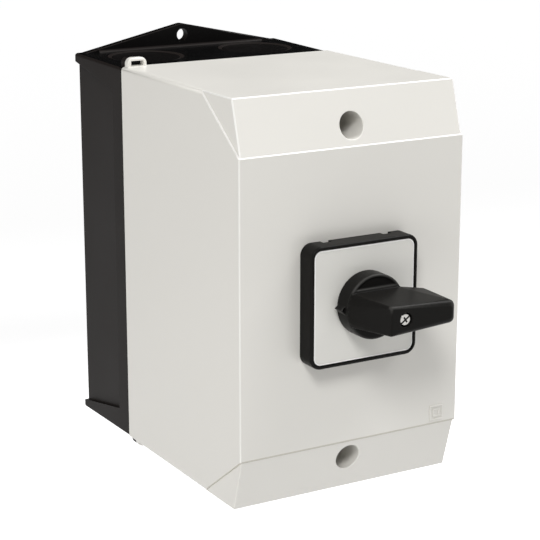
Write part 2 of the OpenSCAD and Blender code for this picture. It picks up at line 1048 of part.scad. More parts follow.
module latch_spring() {
    color(zinc)
        translate([0, -latch_spring_d, latch_top + snug])
            coil(latch_spring_top - latch_top - 2 * snug, latch_spring_mean, latch_spring_wire,
                 latch_spring_turns);
}

function chamber_back(k) = stack_back + (k - 1) * chamber_d;
function cavity_mid(k) = chamber_back(k) + (chamber_d + floor_t) / 2;
function strip_depths(k) = [cavity_mid(k) - strip_w / 2, cavity_mid(k) + strip_w / 2];

// Cavity of one contact chamber, open towards the front
module chamber_cavity(back, front) {
    rod(cam_hole_r, back, front);
    both_sides() {
        block([0, cavity_x], [back, front], [-plunger_room, plunger_room]);
        block([strip_x - air_gap, cavity_x], [back, front], [-cavity_z, cavity_z]);
    }
}

module contact_chamber(k) {
    back = chamber_back(k);
    front = back + chamber_d;
    slot = [strip_x - contact_gap, strip_x + strip_t + contact_gap];
    color(moulding)
        difference() {
            union() {
                square_bar(half_block, back, front);
                top_and_bottom()
                    for (x = [barrier - half_block, 0, half_block - barrier])
                        block([x - barrier, x + barrier], [back, front], [half_block - past, strip_z[1]]);
            }
            chamber_cavity(back + floor_t, front + past);
            rod(cam_shaft_r + air_gap, back - past, front);
            four_corners(tie_at)
                rod(tie_r + slide_gap, back - past, front + past);
            both_sides()
                top_and_bottom()
                    block(slot, [strip_depths(k)[0] - contact_gap, front + past],
                          [cavity_z - past, half_block + past]);
        }
}

// Radius of a cam with two lobes: it falls evenly from each lobe to the hollow between them
function cam_radius(turn) = cam_r - cam_lift * abs((turn + 90) % 180 - 90) / 90;

module cam(k) {
    back = chamber_back(k) + floor_t + nose_gap;
    front = chamber_back(k) + chamber_d - nose_gap;
    color(nylon)
        forward(back, front)
            difference() {
                polygon([for (turn = [0:cam_step:359]) cam_radius(turn) * [cos(turn), sin(turn)]]);
                square(2 * cam_shaft_seat, center = true);
            }
}

module fixed_contacts(k) {
    d = strip_depths(k);
    color(copper)
        both_sides()
            top_and_bottom()
                difference() {
                    union() {
                        block([strip_x, strip_x + strip_t], d, strip_z);
                        translate([0, -cavity_mid(k), tip_z])
                            rod_x(tip_r, strip_x + strip_t / 2, pad_front);
                        block([strip_x - terminal_nut, strip_x + strip_t], d, [half_block + air_gap, strip_z[1]]);
                    }
                    translate([0, -cavity_mid(k), terminal_z])
                        rod_x(terminal_r + run_gap, strip_x - terminal_nut - past, strip_x + strip_t + past);
                }
}

module terminal_screws(k) {
    clamp = strip_x + strip_t + contact_gap;
    head = clamp + clamp_t + clamp_head_h;
    color(zinc)
        both_sides()
            top_and_bottom()
                translate([0, -cavity_mid(k), terminal_z])
                    difference() {
                        union() {
                            block([clamp, clamp + clamp_t], [-clamp_half, clamp_half], [-clamp_half, clamp_half]);
                            rod_x(clamp_head_r, clamp + clamp_t / 2, head);
                            rod_x(terminal_r, strip_x - terminal_nut, clamp + clamp_t);
                        }
                        block([head - clamp_head_h / 2, head + past], [-clamp_half, clamp_half], [-0.4, 0.4]);
                    }
}

module plunger(k, side) {
    d = [cavity_mid(k) - plunger_half, cavity_mid(k) + plunger_half];
    nose = nose_x + nose_r;
    color(nylon)
        on_side(side) {
            translate([nose, 0, 0])
                rod(nose_r, d[0], d[1]);
            block([nose, bridge_back], d, [-nose_r, nose_r]);
            block([bridge_back - plunger_flange[0], bridge_back], d, [-plunger_flange[1], plunger_flange[1]]);
            translate([0, -cavity_mid(k), 0])
                rod_x(plunger_pin_r, bridge_back - past, bridge_back + bridge_t + plunger_pin_l);
        }
}

module bridge(k, side) {
    d = [cavity_mid(k) - bridge_w / 2, cavity_mid(k) + bridge_w / 2];
    color(copper)
        on_side(side)
            difference() {
                union() {
                    block([bridge_back, bridge_back + bridge_t], d, [-bridge_z, bridge_z]);
                    top_and_bottom()
                        translate([0, -cavity_mid(k), tip_z])
                            rod_x(tip_r, bridge_back - tip_t, bridge_back + bridge_t / 2);
                }
                translate([0, -cavity_mid(k), 0])
                    rod_x(plunger_pin_r + run_gap, bridge_back - past, bridge_back + bridge_t + past);
            }
}

module contact_spring(k, side) {
    start = bridge_back + bridge_t + snug;
    color(zinc)
        on_side(side)
            translate([start, -cavity_mid(k), 0])
                rotate([0, 90, 0])
                    coil(cavity_x - start - snug, spring_mean, spring_wire, spring_turns);
}

module latch_housing() {
    color(moulding)
        difference() {
            square_bar(half_block, stack_front, latch_front);
            block([-leaf_room[0], leaf_room[0]], [stack_front - past, latch_front - floor_t],
                  [-leaf_room[1], leaf_room[1]]);
            rod(socket_hub_r + run_gap, stack_front, latch_front + past);
            four_corners(tie_at)
                rod(tie_r + slide_gap, stack_front - past, latch_front + past);
        }
}

module star_wheel() {
    color(nylon)
        forward(star_back, star_front)
            difference() {
                circle(star_r);
                square(2 * cam_shaft_seat, center = true);
                for (turn = [0:90:270])
                    rotate(turn)
                        translate([0, detent_z])
                            circle(detent_r + air_gap);
            }
}

module detent_springs() {
    d = [star_back + past, star_front - past / 2];
    leaf_top = detent_z + detent_r;
    color(zinc)
        top_and_bottom() {
            translate([0, 0, detent_z])
                rod(detent_r, d[0], d[1]);
            block([-leaf_half, leaf_half], d, [leaf_top - leaf_t, leaf_top]);
        }
}

module cam_shaft() {
    color(zinc) {
        square_bar(cam_shaft_w / 2, stack_back + nose_gap, cam_shaft_front);
        rod(journal_r, stack_back - journal_l, stack_back + past);
    }
}

module coupling_socket() {
    flange = latch_front + air_gap;
    color(nylon)
        difference() {
            union() {
                rod(socket_hub_r, star_front + slide_gap, flange + past);
                rod(socket_r, flange, socket_front);
            }
            square_bar(cam_shaft_seat, stack_front, cam_shaft_front + snug);
            square_bar(shaft_w / 2 + slide_gap, shaft_back - nose_gap, socket_front + past);
        }
}

module tie_bolts() {
    color(zinc)
        four_corners(tie_at)
            slotted_screw(tie_head_r, tie_head_h, tie_r, latch_front, rail_front + slide_gap);
}

module tie_nuts() {
    nut_front = rail_front + nut_pocket - snug;
    color(zinc)
        four_corners(tie_at)
            difference() {
                hex_rod(nut_r, nut_front - nut_l, nut_front);
                rod(tie_r + run_gap, nut_front - nut_l - past, nut_front + past);
            }
}

base();
thread_inserts();
din_rail();
rail_screws();
earth_terminal();
earth_screw();
cover();
cover_seal();
cover_screws();
screw_washers();
bezel_frame();
bezel_seal();
bezel_screws();
legend_plate();
handle();
handle_screw();
shaft_seal();
retaining_ring();
drive_shaft();
switch_foot();
rail_latch();
latch_spring();
latch_housing();
detent_springs();
star_wheel();
cam_shaft();
coupling_socket();
tie_bolts();
tie_nuts();
for (k = [1:chambers]) {
    contact_chamber(k);
    cam(k);
    fixed_contacts(k);
    terminal_screws(k);
    for (side = SIDES) {
        plunger(k, side);
        bridge(k, side);
        contact_spring(k, side);
    }
}
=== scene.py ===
import json
import math

import bmesh
import bpy
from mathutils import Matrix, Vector


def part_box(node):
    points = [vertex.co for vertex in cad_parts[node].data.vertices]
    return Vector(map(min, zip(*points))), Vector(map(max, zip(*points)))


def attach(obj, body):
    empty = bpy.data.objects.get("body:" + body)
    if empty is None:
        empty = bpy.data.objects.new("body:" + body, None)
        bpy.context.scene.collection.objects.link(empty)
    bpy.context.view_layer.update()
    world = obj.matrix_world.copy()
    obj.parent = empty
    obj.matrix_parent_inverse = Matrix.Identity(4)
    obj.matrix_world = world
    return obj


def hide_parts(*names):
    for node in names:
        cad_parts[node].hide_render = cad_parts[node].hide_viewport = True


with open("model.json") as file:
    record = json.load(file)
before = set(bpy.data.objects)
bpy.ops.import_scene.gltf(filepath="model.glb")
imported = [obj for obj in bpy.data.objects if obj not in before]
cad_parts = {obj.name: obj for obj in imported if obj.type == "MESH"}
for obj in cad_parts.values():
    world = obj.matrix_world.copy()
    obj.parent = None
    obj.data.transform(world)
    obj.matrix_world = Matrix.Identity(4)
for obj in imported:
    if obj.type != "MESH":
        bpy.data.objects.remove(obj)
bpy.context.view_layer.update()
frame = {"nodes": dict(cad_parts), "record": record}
nodes = frame["nodes"]

# Base: the black tub that goes on the wall, with hollowed sides, lugs, knock-outs and sealing eyelets.
# It is injection moulded in one piece from glass-filled plastic, with a fine satin grain.
# Its rounded outside is drawn here, and the walls, pillars and holes within it come from the frame.
mm = 0.001
skin = 0.01


def placed(name, shape):
    """Turns a shape into a piece in the scene."""
    mesh = bpy.data.meshes.new(name)
    shape.to_mesh(mesh)
    shape.free()
    piece = bpy.data.objects.new(name, mesh)
    bpy.context.scene.collection.objects.link(piece)
    return piece


def merged_copy(name, node):
    """A piece with the mesh of a node, its loose triangles joined into whole flat faces."""
    shape = bmesh.new()
    shape.from_mesh(nodes[node].data)
    bmesh.ops.remove_doubles(shape, verts=shape.verts, dist=0.002 * mm)
    bmesh.ops.dissolve_limit(shape, angle_limit=math.radians(0.6), use_dissolve_boundaries=False,
                             verts=shape.verts, edges=shape.edges, delimit=set())
    return placed(name, shape)


def settle(piece):
    """Turns the modifiers of a piece into plain mesh."""
    bpy.context.view_layer.update()
    graph = bpy.context.evaluated_depsgraph_get()
    rough = piece.data
    piece.data = bpy.data.meshes.new_from_object(piece.evaluated_get(graph), preserve_all_data_layers=True,
                                                 depsgraph=graph)
    piece.modifiers.clear()
    bpy.data.meshes.remove(rough)
    return piece


def solid(name, corners, faces):
    """A piece from corners given as x, depth and z in mm, and faces as lists of corner numbers."""
    shape = bmesh.new()
    points = [shape.verts.new((x * mm, -d * mm, z * mm)) for x, d, z in corners]
    for face in faces:
        shape.faces.new([points[i] for i in face])
    bmesh.ops.recalc_face_normals(shape, faces=shape.faces)
    return placed(name, shape)


def prism(name, outline, low, high, along="depth"):
    """A solid from an outline that runs from low to high along the depth, or along x."""
    n = len(outline)
    corners = []
    for end in (low, high):
        for u, v in outline:
            corners.append((end, u, v) if along == "x" else (u, end, v))
    faces = [list(range(n)), list(range(2 * n - 1, n - 1, -1))]
    for i in range(n):
        j = (i + 1) % n
        faces.append([i, j, n + j, n + i])
    return solid(name, corners, faces)


def round_edges(piece, radius_at, segments=4):
    """Rounds each outside edge of a piece by the radius, in mm, that radius_at gives for its middle."""
    shape = bmesh.new()
    shape.from_mesh(piece.data)
    layers = shape.edges.layers.float
    weight = layers.get("bevel_weight_edge") or layers.new("bevel_weight_edge")
    radii = {}
    for edge in shape.edges:
        edge[weight] = 0.0
        if edge.calc_face_angle_signed(0.0) > math.radians(14):
            middle = (edge.verts[0].co + edge.verts[1].co) / (2 * mm)
            radii[edge] = radius_at(middle.x, -middle.y, middle.z)
    widest = max(radii.values())
    for edge, radius in radii.items():
        edge[weight] = radius / widest
    shape.to_mesh(piece.data)
    shape.free()
    bevel = piece.modifiers.new("rounding", "BEVEL")
    bevel.limit_method = "WEIGHT"
    bevel.offset_type = "OFFSET"
    bevel.width = widest * mm
    bevel.segments = segments
    bevel.use_clamp_overlap = False
    return settle(piece)


def combine(piece, tool, how):
    """Unites a piece with a tool, cuts it by the tool or keeps what both have, and drops the tool."""
    change = piece.modifiers.new("combine", "BOOLEAN")
    change.operation = how
    change.solver = "EXACT"
    change.object = tool
    settle(piece)
    bpy.data.objects.remove(tool)
    return piece


def smooth_faces(piece, sharp=32):
    """Shades the roundings of a piece smoothly, and keeps its flat faces flat."""
    weights = piece.data.attributes.get("bevel_weight_edge")
    if weights:
        piece.data.attributes.remove(weights)
    piece.data.shade_smooth()
    piece.data.set_sharp_from_angle(angle=math.radians(sharp))
    even = piece.modifiers.new("even", "WEIGHTED_NORMAL")
    even.keep_sharp = True
    even.weight = 60
    return settle(piece)


def wired(tree, kind, inputs, **settings):
    """Adds a node to a tree with its settings, and sets or links its inputs by name or number."""
    node = tree.nodes.new(kind)
    for name, value in settings.items():
        setattr(node, name, value)
    for name, value in inputs.items():
        if isinstance(value, bpy.types.NodeSocket):
            tree.links.new(value, node.inputs[name])
        else:
            node.inputs[name].default_value = value
    return node


def shade(share, colour):
    """A colour made darker or lighter by a share, as a node takes it."""
    return [min(c * share, 1) for c in colour] + [1]


def moulded_plastic(name, colour, roughness, specular, cloud=0.03, relief=0.12, painted_shading=None, polish=0.0):
    """Moulded plastic: a fine eroded grain over a slow ripple, with faint clouds in its colour and gloss.
    Faces take a share of the shading colour, where one is given, by their marks, which paints highlights and
    shade into it. Marked faces are smoother by the polish, and a share below nought makes a pale plastic
    darker."""
    finish = bpy.data.materials.new(name)
    finish.use_nodes = True
    tree = finish.node_tree
    shader = tree.nodes["Principled BSDF"]
    shader.inputs["Specular IOR Level"].default_value = specular
    place = tree.nodes.new("ShaderNodeTexCoord").outputs["Object"]
    clouds = wired(tree, "ShaderNodeTexNoise", {"Vector": place, "Scale": 28, "Detail": 4}).outputs["Fac"]
    tint = wired(tree, "ShaderNodeMix", {"Factor": clouds, "A": shade(1 - cloud, colour),
                                         "B": shade(1 + cloud, colour)}, data_type="RGBA")
    gloss = wired(tree, "ShaderNodeMapRange", {"Value": clouds, "To Min": roughness - 0.05,
                                               "To Max": roughness + 0.05})
    ripple = wired(tree, "ShaderNodeTexNoise", {"Vector": place, "Scale": 70, "Detail": 1}).outputs["Fac"]
    slow = wired(tree, "ShaderNodeBump", {"Height": ripple, "Strength": 0.02, "Distance": 0.3 * mm})
    grain = wired(tree, "ShaderNodeTexNoise", {"Vector": place, "Scale": 2200, "Detail": 2}).outputs["Fac"]
    fine = wired(tree, "ShaderNodeBump", {"Height": grain, "Strength": relief, "Distance": 0.05 * mm,
                                          "Normal": slow.outputs["Normal"]})
    # Painted highlights and painted shade: the marked share of each face takes the shading colour.
    if painted_shading:
        shading_share = wired(tree, "ShaderNodeAttribute", {}, attribute_name="painted_shading").outputs["Fac"]
        tint = wired(tree, "ShaderNodeMix", {"Factor": shading_share, "A": tint.outputs["Result"],
                                             "B": shade(1, painted_shading)}, data_type="RGBA", clamp_factor=False)
        gloss = wired(tree, "ShaderNodeMath", {0: shading_share, 1: -polish, 2: gloss.outputs["Result"]},
                      operation="MULTIPLY_ADD")
    tree.links.new(tint.outputs["Result"], shader.inputs["Base Color"])
    tree.links.new(gloss.outputs[0], shader.inputs["Roughness"])
    tree.links.new(fine.outputs["Normal"], shader.inputs["Normal"])
    return finish


# The base's shading colour is darker than its own: the marked faces take it as painted shade.
finishes = {"base_black": moulded_plastic("base_black", (0.0102, 0.0081, 0.0073), 0.5, 0.06,
                                          painted_shading=(0.002, 0.002, 0.0021), polish=0.32)}


def finished(piece, body, slot, *replaced):
    """Gives a piece the finish of its slot, when it has none, puts it on its body, and hides the nodes that
    it stands for.
    """
    if not piece.data.materials:
        piece.data.materials.append(finishes[slot])
    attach(piece, body)
    if replaced:
        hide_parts(*replaced)
    return piece


base_side, base_front, base_ends, wall_ends = 49.7 - skin, 46.5 - skin, 79.4 - skin, 80.0 - skin
ear, scoop_edge, scoop_front, scoop_floor = 76.45 + skin, 69.5 + skin, 37.0 + skin, 47.9 - skin
scoop_behind, scoop_reach = -1, 60
base_end = [(skin, -wall_ends), (base_front, -base_ends), (base_front, base_ends), (skin, wall_ends)]
base_form = prism("base_form", base_end, -base_side, base_side, "x")
scoop_end = [(scoop_behind, -ear), (0, -ear), (scoop_front, -scoop_edge), (scoop_front, scoop_edge), (0, ear),
             (scoop_behind, ear)]
for low, high in ((scoop_floor, scoop_reach), (-scoop_reach, -scoop_floor)):
    combine(base_form, prism("scoop", scoop_end, low, high, "x"), "DIFFERENCE")
corner_round, rim_round, scoop_round = 1.35, 0.6, 0.15


def base_radius(x, d, z):
    """Rounding of the base: wide along its corners, narrow round the scoops in its sides."""
    if abs(z) > 79 and 5 < d < 40:
        return corner_round
    if d < 1 or d > base_front - 1:
        return rim_round
    return scoop_round


round_edges(base_form, base_radius)


def lug_outline(sign):
    """The wall lug seen from the front: two straight flanks that touch a round end."""
    foot, root, middle, radius, steps = 46.5, 70, 85.1, 4.8 - skin, 24
    rise = middle - wall_ends
    turn = math.acos(radius / math.hypot(foot, rise)) - math.atan2(rise, foot)
    outline = [(-foot, root), (foot, root), (foot, wall_ends)]
    for i in range(steps + 1):
        angle = turn + (math.pi - 2 * turn) * i / steps
        outline.append((radius * math.cos(angle), middle + radius * math.sin(angle)))
    outline.append((-foot, wall_ends))
    return [(x, sign * z) for x, z in outline]


def eyelet_outline(sign, left=-48.4, right=-39.7, foot=78.6, top=83.7, radius=2.5, low_shift=1.3, steps=8):
    """A sealing eyelet seen from the front: a foot in the end wall and a round-cornered top.
    The one at the bottom stands a little further in."""
    across = 0.0 if sign > 0 else low_shift
    outline = [(left + skin, foot), (right - skin, foot)]
    for middle, start in ((right - radius, 0), (left + radius, 90)):
        for i in range(steps + 1):
            angle = math.radians(start + 90 * i / steps)
            outline.append((middle + (radius - skin) * math.cos(angle),
                            top - radius + (radius - skin) * math.sin(angle)))
    return [(x + across, sign * z) for x, z in outline]


def add_eyelet(form, sign, low, high):
    """Unites a form with an eyelet between two depths, rounded where it stands clear of the end wall."""
    eyelet = prism("eyelet", eyelet_outline(sign), low, high)
    round_edges(eyelet, lambda x, d, z: 0.7 if abs(z) > 79.5 else 0.0, 3)
    combine(form, eyelet, "UNION")


lug_thickness, eyelet_thickness = 4.2, 3.3
for sign in (-1, 1):
    lug = prism("lug", lug_outline(sign), skin, lug_thickness - skin)
    round_edges(lug, lambda x, d, z: 0.35 if abs(z) > 81.4 else 0.0, 3)
    combine(base_form, lug, "UNION")
    add_eyelet(base_form, sign, base_front - eyelet_thickness + 2 * skin, base_front)
tongue_side, tongue_end, tongue_root, tongue_top = 46.9, 76.9, 30, 51.7
tongue = [(-tongue_side, -tongue_end), (tongue_side, -tongue_end), (tongue_side, tongue_end),
          (-tongue_side, tongue_end)]
combine(base_form, prism("tongue", tongue, tongue_root, tongue_top), "UNION")
base = combine(merged_copy("base_shell", "base"), base_form, "INTERSECT")
fillet_radius, fillet_root, fillet_edge, fillet_half, fillet_steps = 1.1, 79.3, 81.0, 40, 6
fillet_back, fillet_front = lug_thickness - 0.2, lug_thickness + 1.2
for sign in (-1, 1):
    sweep = [(fillet_back, sign * fillet_root), (fillet_front, sign * fillet_root)]
    for i in range(fillet_steps + 1):
        angle = math.radians(90 * i / fillet_steps)
        sweep.append((lug_thickness + fillet_radius - fillet_radius * math.sin(angle),
                      sign * (fillet_edge - fillet_radius * math.cos(angle))))
    sweep.append((fillet_back, sign * fillet_edge))
    combine(base, prism("fillet", sweep, -fillet_half, fillet_half, "x"), "UNION")


def paint_shading(piece, share_at):
    """Paints light and shade on each face of a piece: marks it with the share of shading colour that share_at
    gives for its middle (x, depth and z, in mm) and the way that it faces."""
    marks = piece.data.attributes.new("painted_shading", "FLOAT", "FACE")
    for face, mark in zip(piece.data.polygons, marks.data):
        middle = face.center / mm
        mark.value = share_at(middle.x, -middle.y, middle.z, face.normal)


knockout_shade, lug_shade = 0.8, 0.85


def end_wall_shade(x, d, z, way):
    """Share of painted shade: one on the smooth end walls of the base, a share on its knock-outs and lugs,
    nought on its sides.
    """
    wall_z = wall_ends - (wall_ends - base_ends) * d / base_front
    if abs(way.z) > 0.95 and abs(z) > wall_z - 2:
        return 1.0 if abs(abs(z) - wall_z) < 0.1 else knockout_shade
    return lug_shade if abs(z) > fillet_edge and way.y < -0.95 else 0.0


smooth_faces(base)
# The end walls, knock-outs and lug fronts are painted darker, as painted shade, and made a little smoother.
paint_shading(base, end_wall_shade)
finished(base, "base", "base_black", "base")

# Thread inserts: two brass sleeves that are pressed into the pillars of the base for the cover screws.
# They are turned from bar, with a chamfer at the mouth and a thread in the bore.
insert_outside, insert_bore, insert_back, insert_mouth = 3.6, 2.56, 33.5, 45.5
insert_chamfer, insert_thread, insert_pitch, insert_turns, insert_z = 0.3, 0.16, 0.8, 14, 66.3


def plated_metal(name, colour, roughness, scratch=900):
    """Plated or bare metal: fine scratches in relief, with clouds in its colour and its gloss."""
    finish = bpy.data.materials.new(name)
    finish.use_nodes = True
    tree = finish.node_tree
    shader = tree.nodes["Principled BSDF"]
    shader.inputs["Metallic"].default_value = 1.0
    place = tree.nodes.new("ShaderNodeTexCoord").outputs["Object"]
    clouds = wired(tree, "ShaderNodeTexNoise", {"Vector": place, "Scale": 160, "Detail": 5}).outputs["Fac"]
    tint = wired(tree, "ShaderNodeMix", {"Factor": clouds, "A": shade(0.9, colour), "B": shade(1.08, colour)},
                 data_type="RGBA")
    gloss = wired(tree, "ShaderNodeMapRange", {"Value": clouds, "To Min": roughness - 0.08,
                                               "To Max": roughness + 0.08})
    lines = wired(tree, "ShaderNodeTexNoise", {"Vector": place, "Scale": scratch, "Detail": 3}).outputs["Fac"]
    bump = wired(tree, "ShaderNodeBump", {"Height": lines, "Strength": 0.1, "Distance": 0.02 * mm})
    tree.links.new(tint.outputs["Result"], shader.inputs["Base Color"])
    tree.links.new(gloss.outputs["Result"], shader.inputs["Roughness"])
    tree.links.new(bump.outputs["Normal"], shader.inputs["Normal"])
    return finish


finishes["brass"] = plated_metal("brass", (0.72, 0.55, 0.25), 0.28)


def turned(name, profile, x=0.0, z=0.0, steps=64):
    """A round solid about a line along the depth, from a profile of radius and depth in mm.
    The profile starts and ends on the line, or else goes round a ring and closes on itself."""
    shape = bmesh.new()
    rings = []
    for radius, d in profile:
        ring = []
        for i in range(steps if radius > 0 else 1):
            angle = 2 * math.pi * i / steps
            ring.append(shape.verts.new(((x + radius * math.cos(angle)) * mm, -d * mm,
                                         (z + radius * math.sin(angle)) * mm)))
        rings.append(ring)
    after = rings[1:] + rings[:1] if profile[0][0] > 0 else rings[1:]
    for ring, following in zip(rings, after):
        for i in range(steps):
            j = (i + 1) % steps
            corners = [ring[i % len(ring)], ring[j % len(ring)],
                       following[j % len(following)], following[i % len(following)]]
            shape.faces.new(list(dict.fromkeys(corners)))
    bmesh.ops.recalc_face_normals(shape, faces=shape.faces)
    return placed(name, shape)


insert_profile = [(insert_bore + insert_thread, insert_back), (insert_outside, insert_back),
                  (insert_outside, insert_mouth - insert_chamfer),
                  (insert_outside - insert_chamfer, insert_mouth),
                  (insert_bore + 2 * insert_chamfer, insert_mouth)]
for i in range(insert_turns):
    depth = insert_mouth - 2 * insert_chamfer - i * insert_pitch
    insert_profile.append((insert_bore, depth))
    insert_profile.append((insert_bore + insert_thread, depth - insert_pitch / 2))
inserts = turned("thread_insert_sleeves", insert_profile, 0, insert_z)
combine(inserts, turned("lower_sleeve", insert_profile, 0, -insert_z), "UNION")
finished(smooth_faces(inserts), "base", "brass", "thread_inserts")

# Mounting rail: a hat-shaped strip that carries the switch block on two bosses of the base.
# It is roll-formed from zinc-plated steel, so that its bends are round inside and outside.
finishes["zinc_steel"] = plated_metal("zinc_steel", (0.43, 0.42, 0.4), 0.36)
rail_half, rail_back, rail_front, rail_sheet = 30.0, 8.0, 15.5, 1.0
rail_hat, rail_edge, rail_screw_x, rail_hole = 13.5, 17.5, 22.0, 1.75
bend_outside, bend_inside, sheet_edge = 1.3, 0.3, 0.2


def rounded_outline(corners, steps=5):
    """An outline from corners, each given as two places and the radius that rounds it."""
    outline = []
    for i, (u, v, radius) in enumerate(corners):
        corner = Vector((u, v))
        before = (Vector(corners[i - 1][:2]) - corner).normalized()
        after = (Vector(corners[(i + 1) % len(corners)][:2]) - corner).normalized()
        half = before.angle(after) / 2
        centre = corner + (before + after).normalized() * radius / math.sin(half)
        start = corner + before * radius / math.tan(half) - centre
        end = corner + after * radius / math.tan(half) - centre
        for k in range(steps + 1):
            outline.append(tuple(centre + start.slerp(end, k / steps).normalized() * radius))
    return outline


rail_lip = rail_front - rail_sheet
lower_rail = [(rail_back, -rail_hat, bend_outside), (rail_lip, -rail_hat, bend_inside),
              (rail_lip, -rail_edge, sheet_edge), (rail_front, -rail_edge, sheet_edge),
              (rail_front, rail_sheet - rail_hat, bend_outside),
              (rail_back + rail_sheet, rail_sheet - rail_hat, bend_inside)]
upper_rail = [(d, -z, radius) for d, z, radius in reversed(lower_rail)]
rail = prism("mounting_rail", rounded_outline(lower_rail + upper_rail), -rail_half, rail_half, "x")
hole_back, hole_front = rail_back - 2, rail_back + 2
for x in (-rail_screw_x, rail_screw_x):
    hole = [(0, hole_back), (rail_hole, hole_back), (rail_hole, hole_front), (0, hole_front)]
    combine(rail, turned("hole", hole, x), "DIFFERENCE")
finished(smooth_faces(rail), "base", "zinc_steel", "din_rail")

# Rail screws: two slotted pan-head screws that hold the rail on the bosses.
# Like every screw here they are zinc-plated steel, with a rolled thread, a rounded head and a slot painted
# dark as painted shade.
# Painted shade: the faces cut by the slot and the cross take a dark steel colour.
slot_shade_steel = plated_metal("slot_shade_steel", (0.1, 0.095, 0.09), 0.6)


def on_seats(tree, seats, shape):
    """Puts a shape on each seat of a mesh, turned the way that the seat faces, as plain mesh."""
    facing = wired(tree, "GeometryNodeInputNamedAttribute", {"Name": "facing"},
                   data_type="FLOAT_VECTOR").outputs["Attribute"]
    aligned = wired(tree, "FunctionNodeAlignRotationToVector", {"Vector": facing}, axis="Z").outputs[0]
    row = wired(tree, "GeometryNodeInstanceOnPoints", {"Points": seats, "Instance": shape,
                                                       "Rotation": aligned}).outputs[0]
    return wired(tree, "GeometryNodeRealizeInstances", {"Geometry": row}).outputs[0]


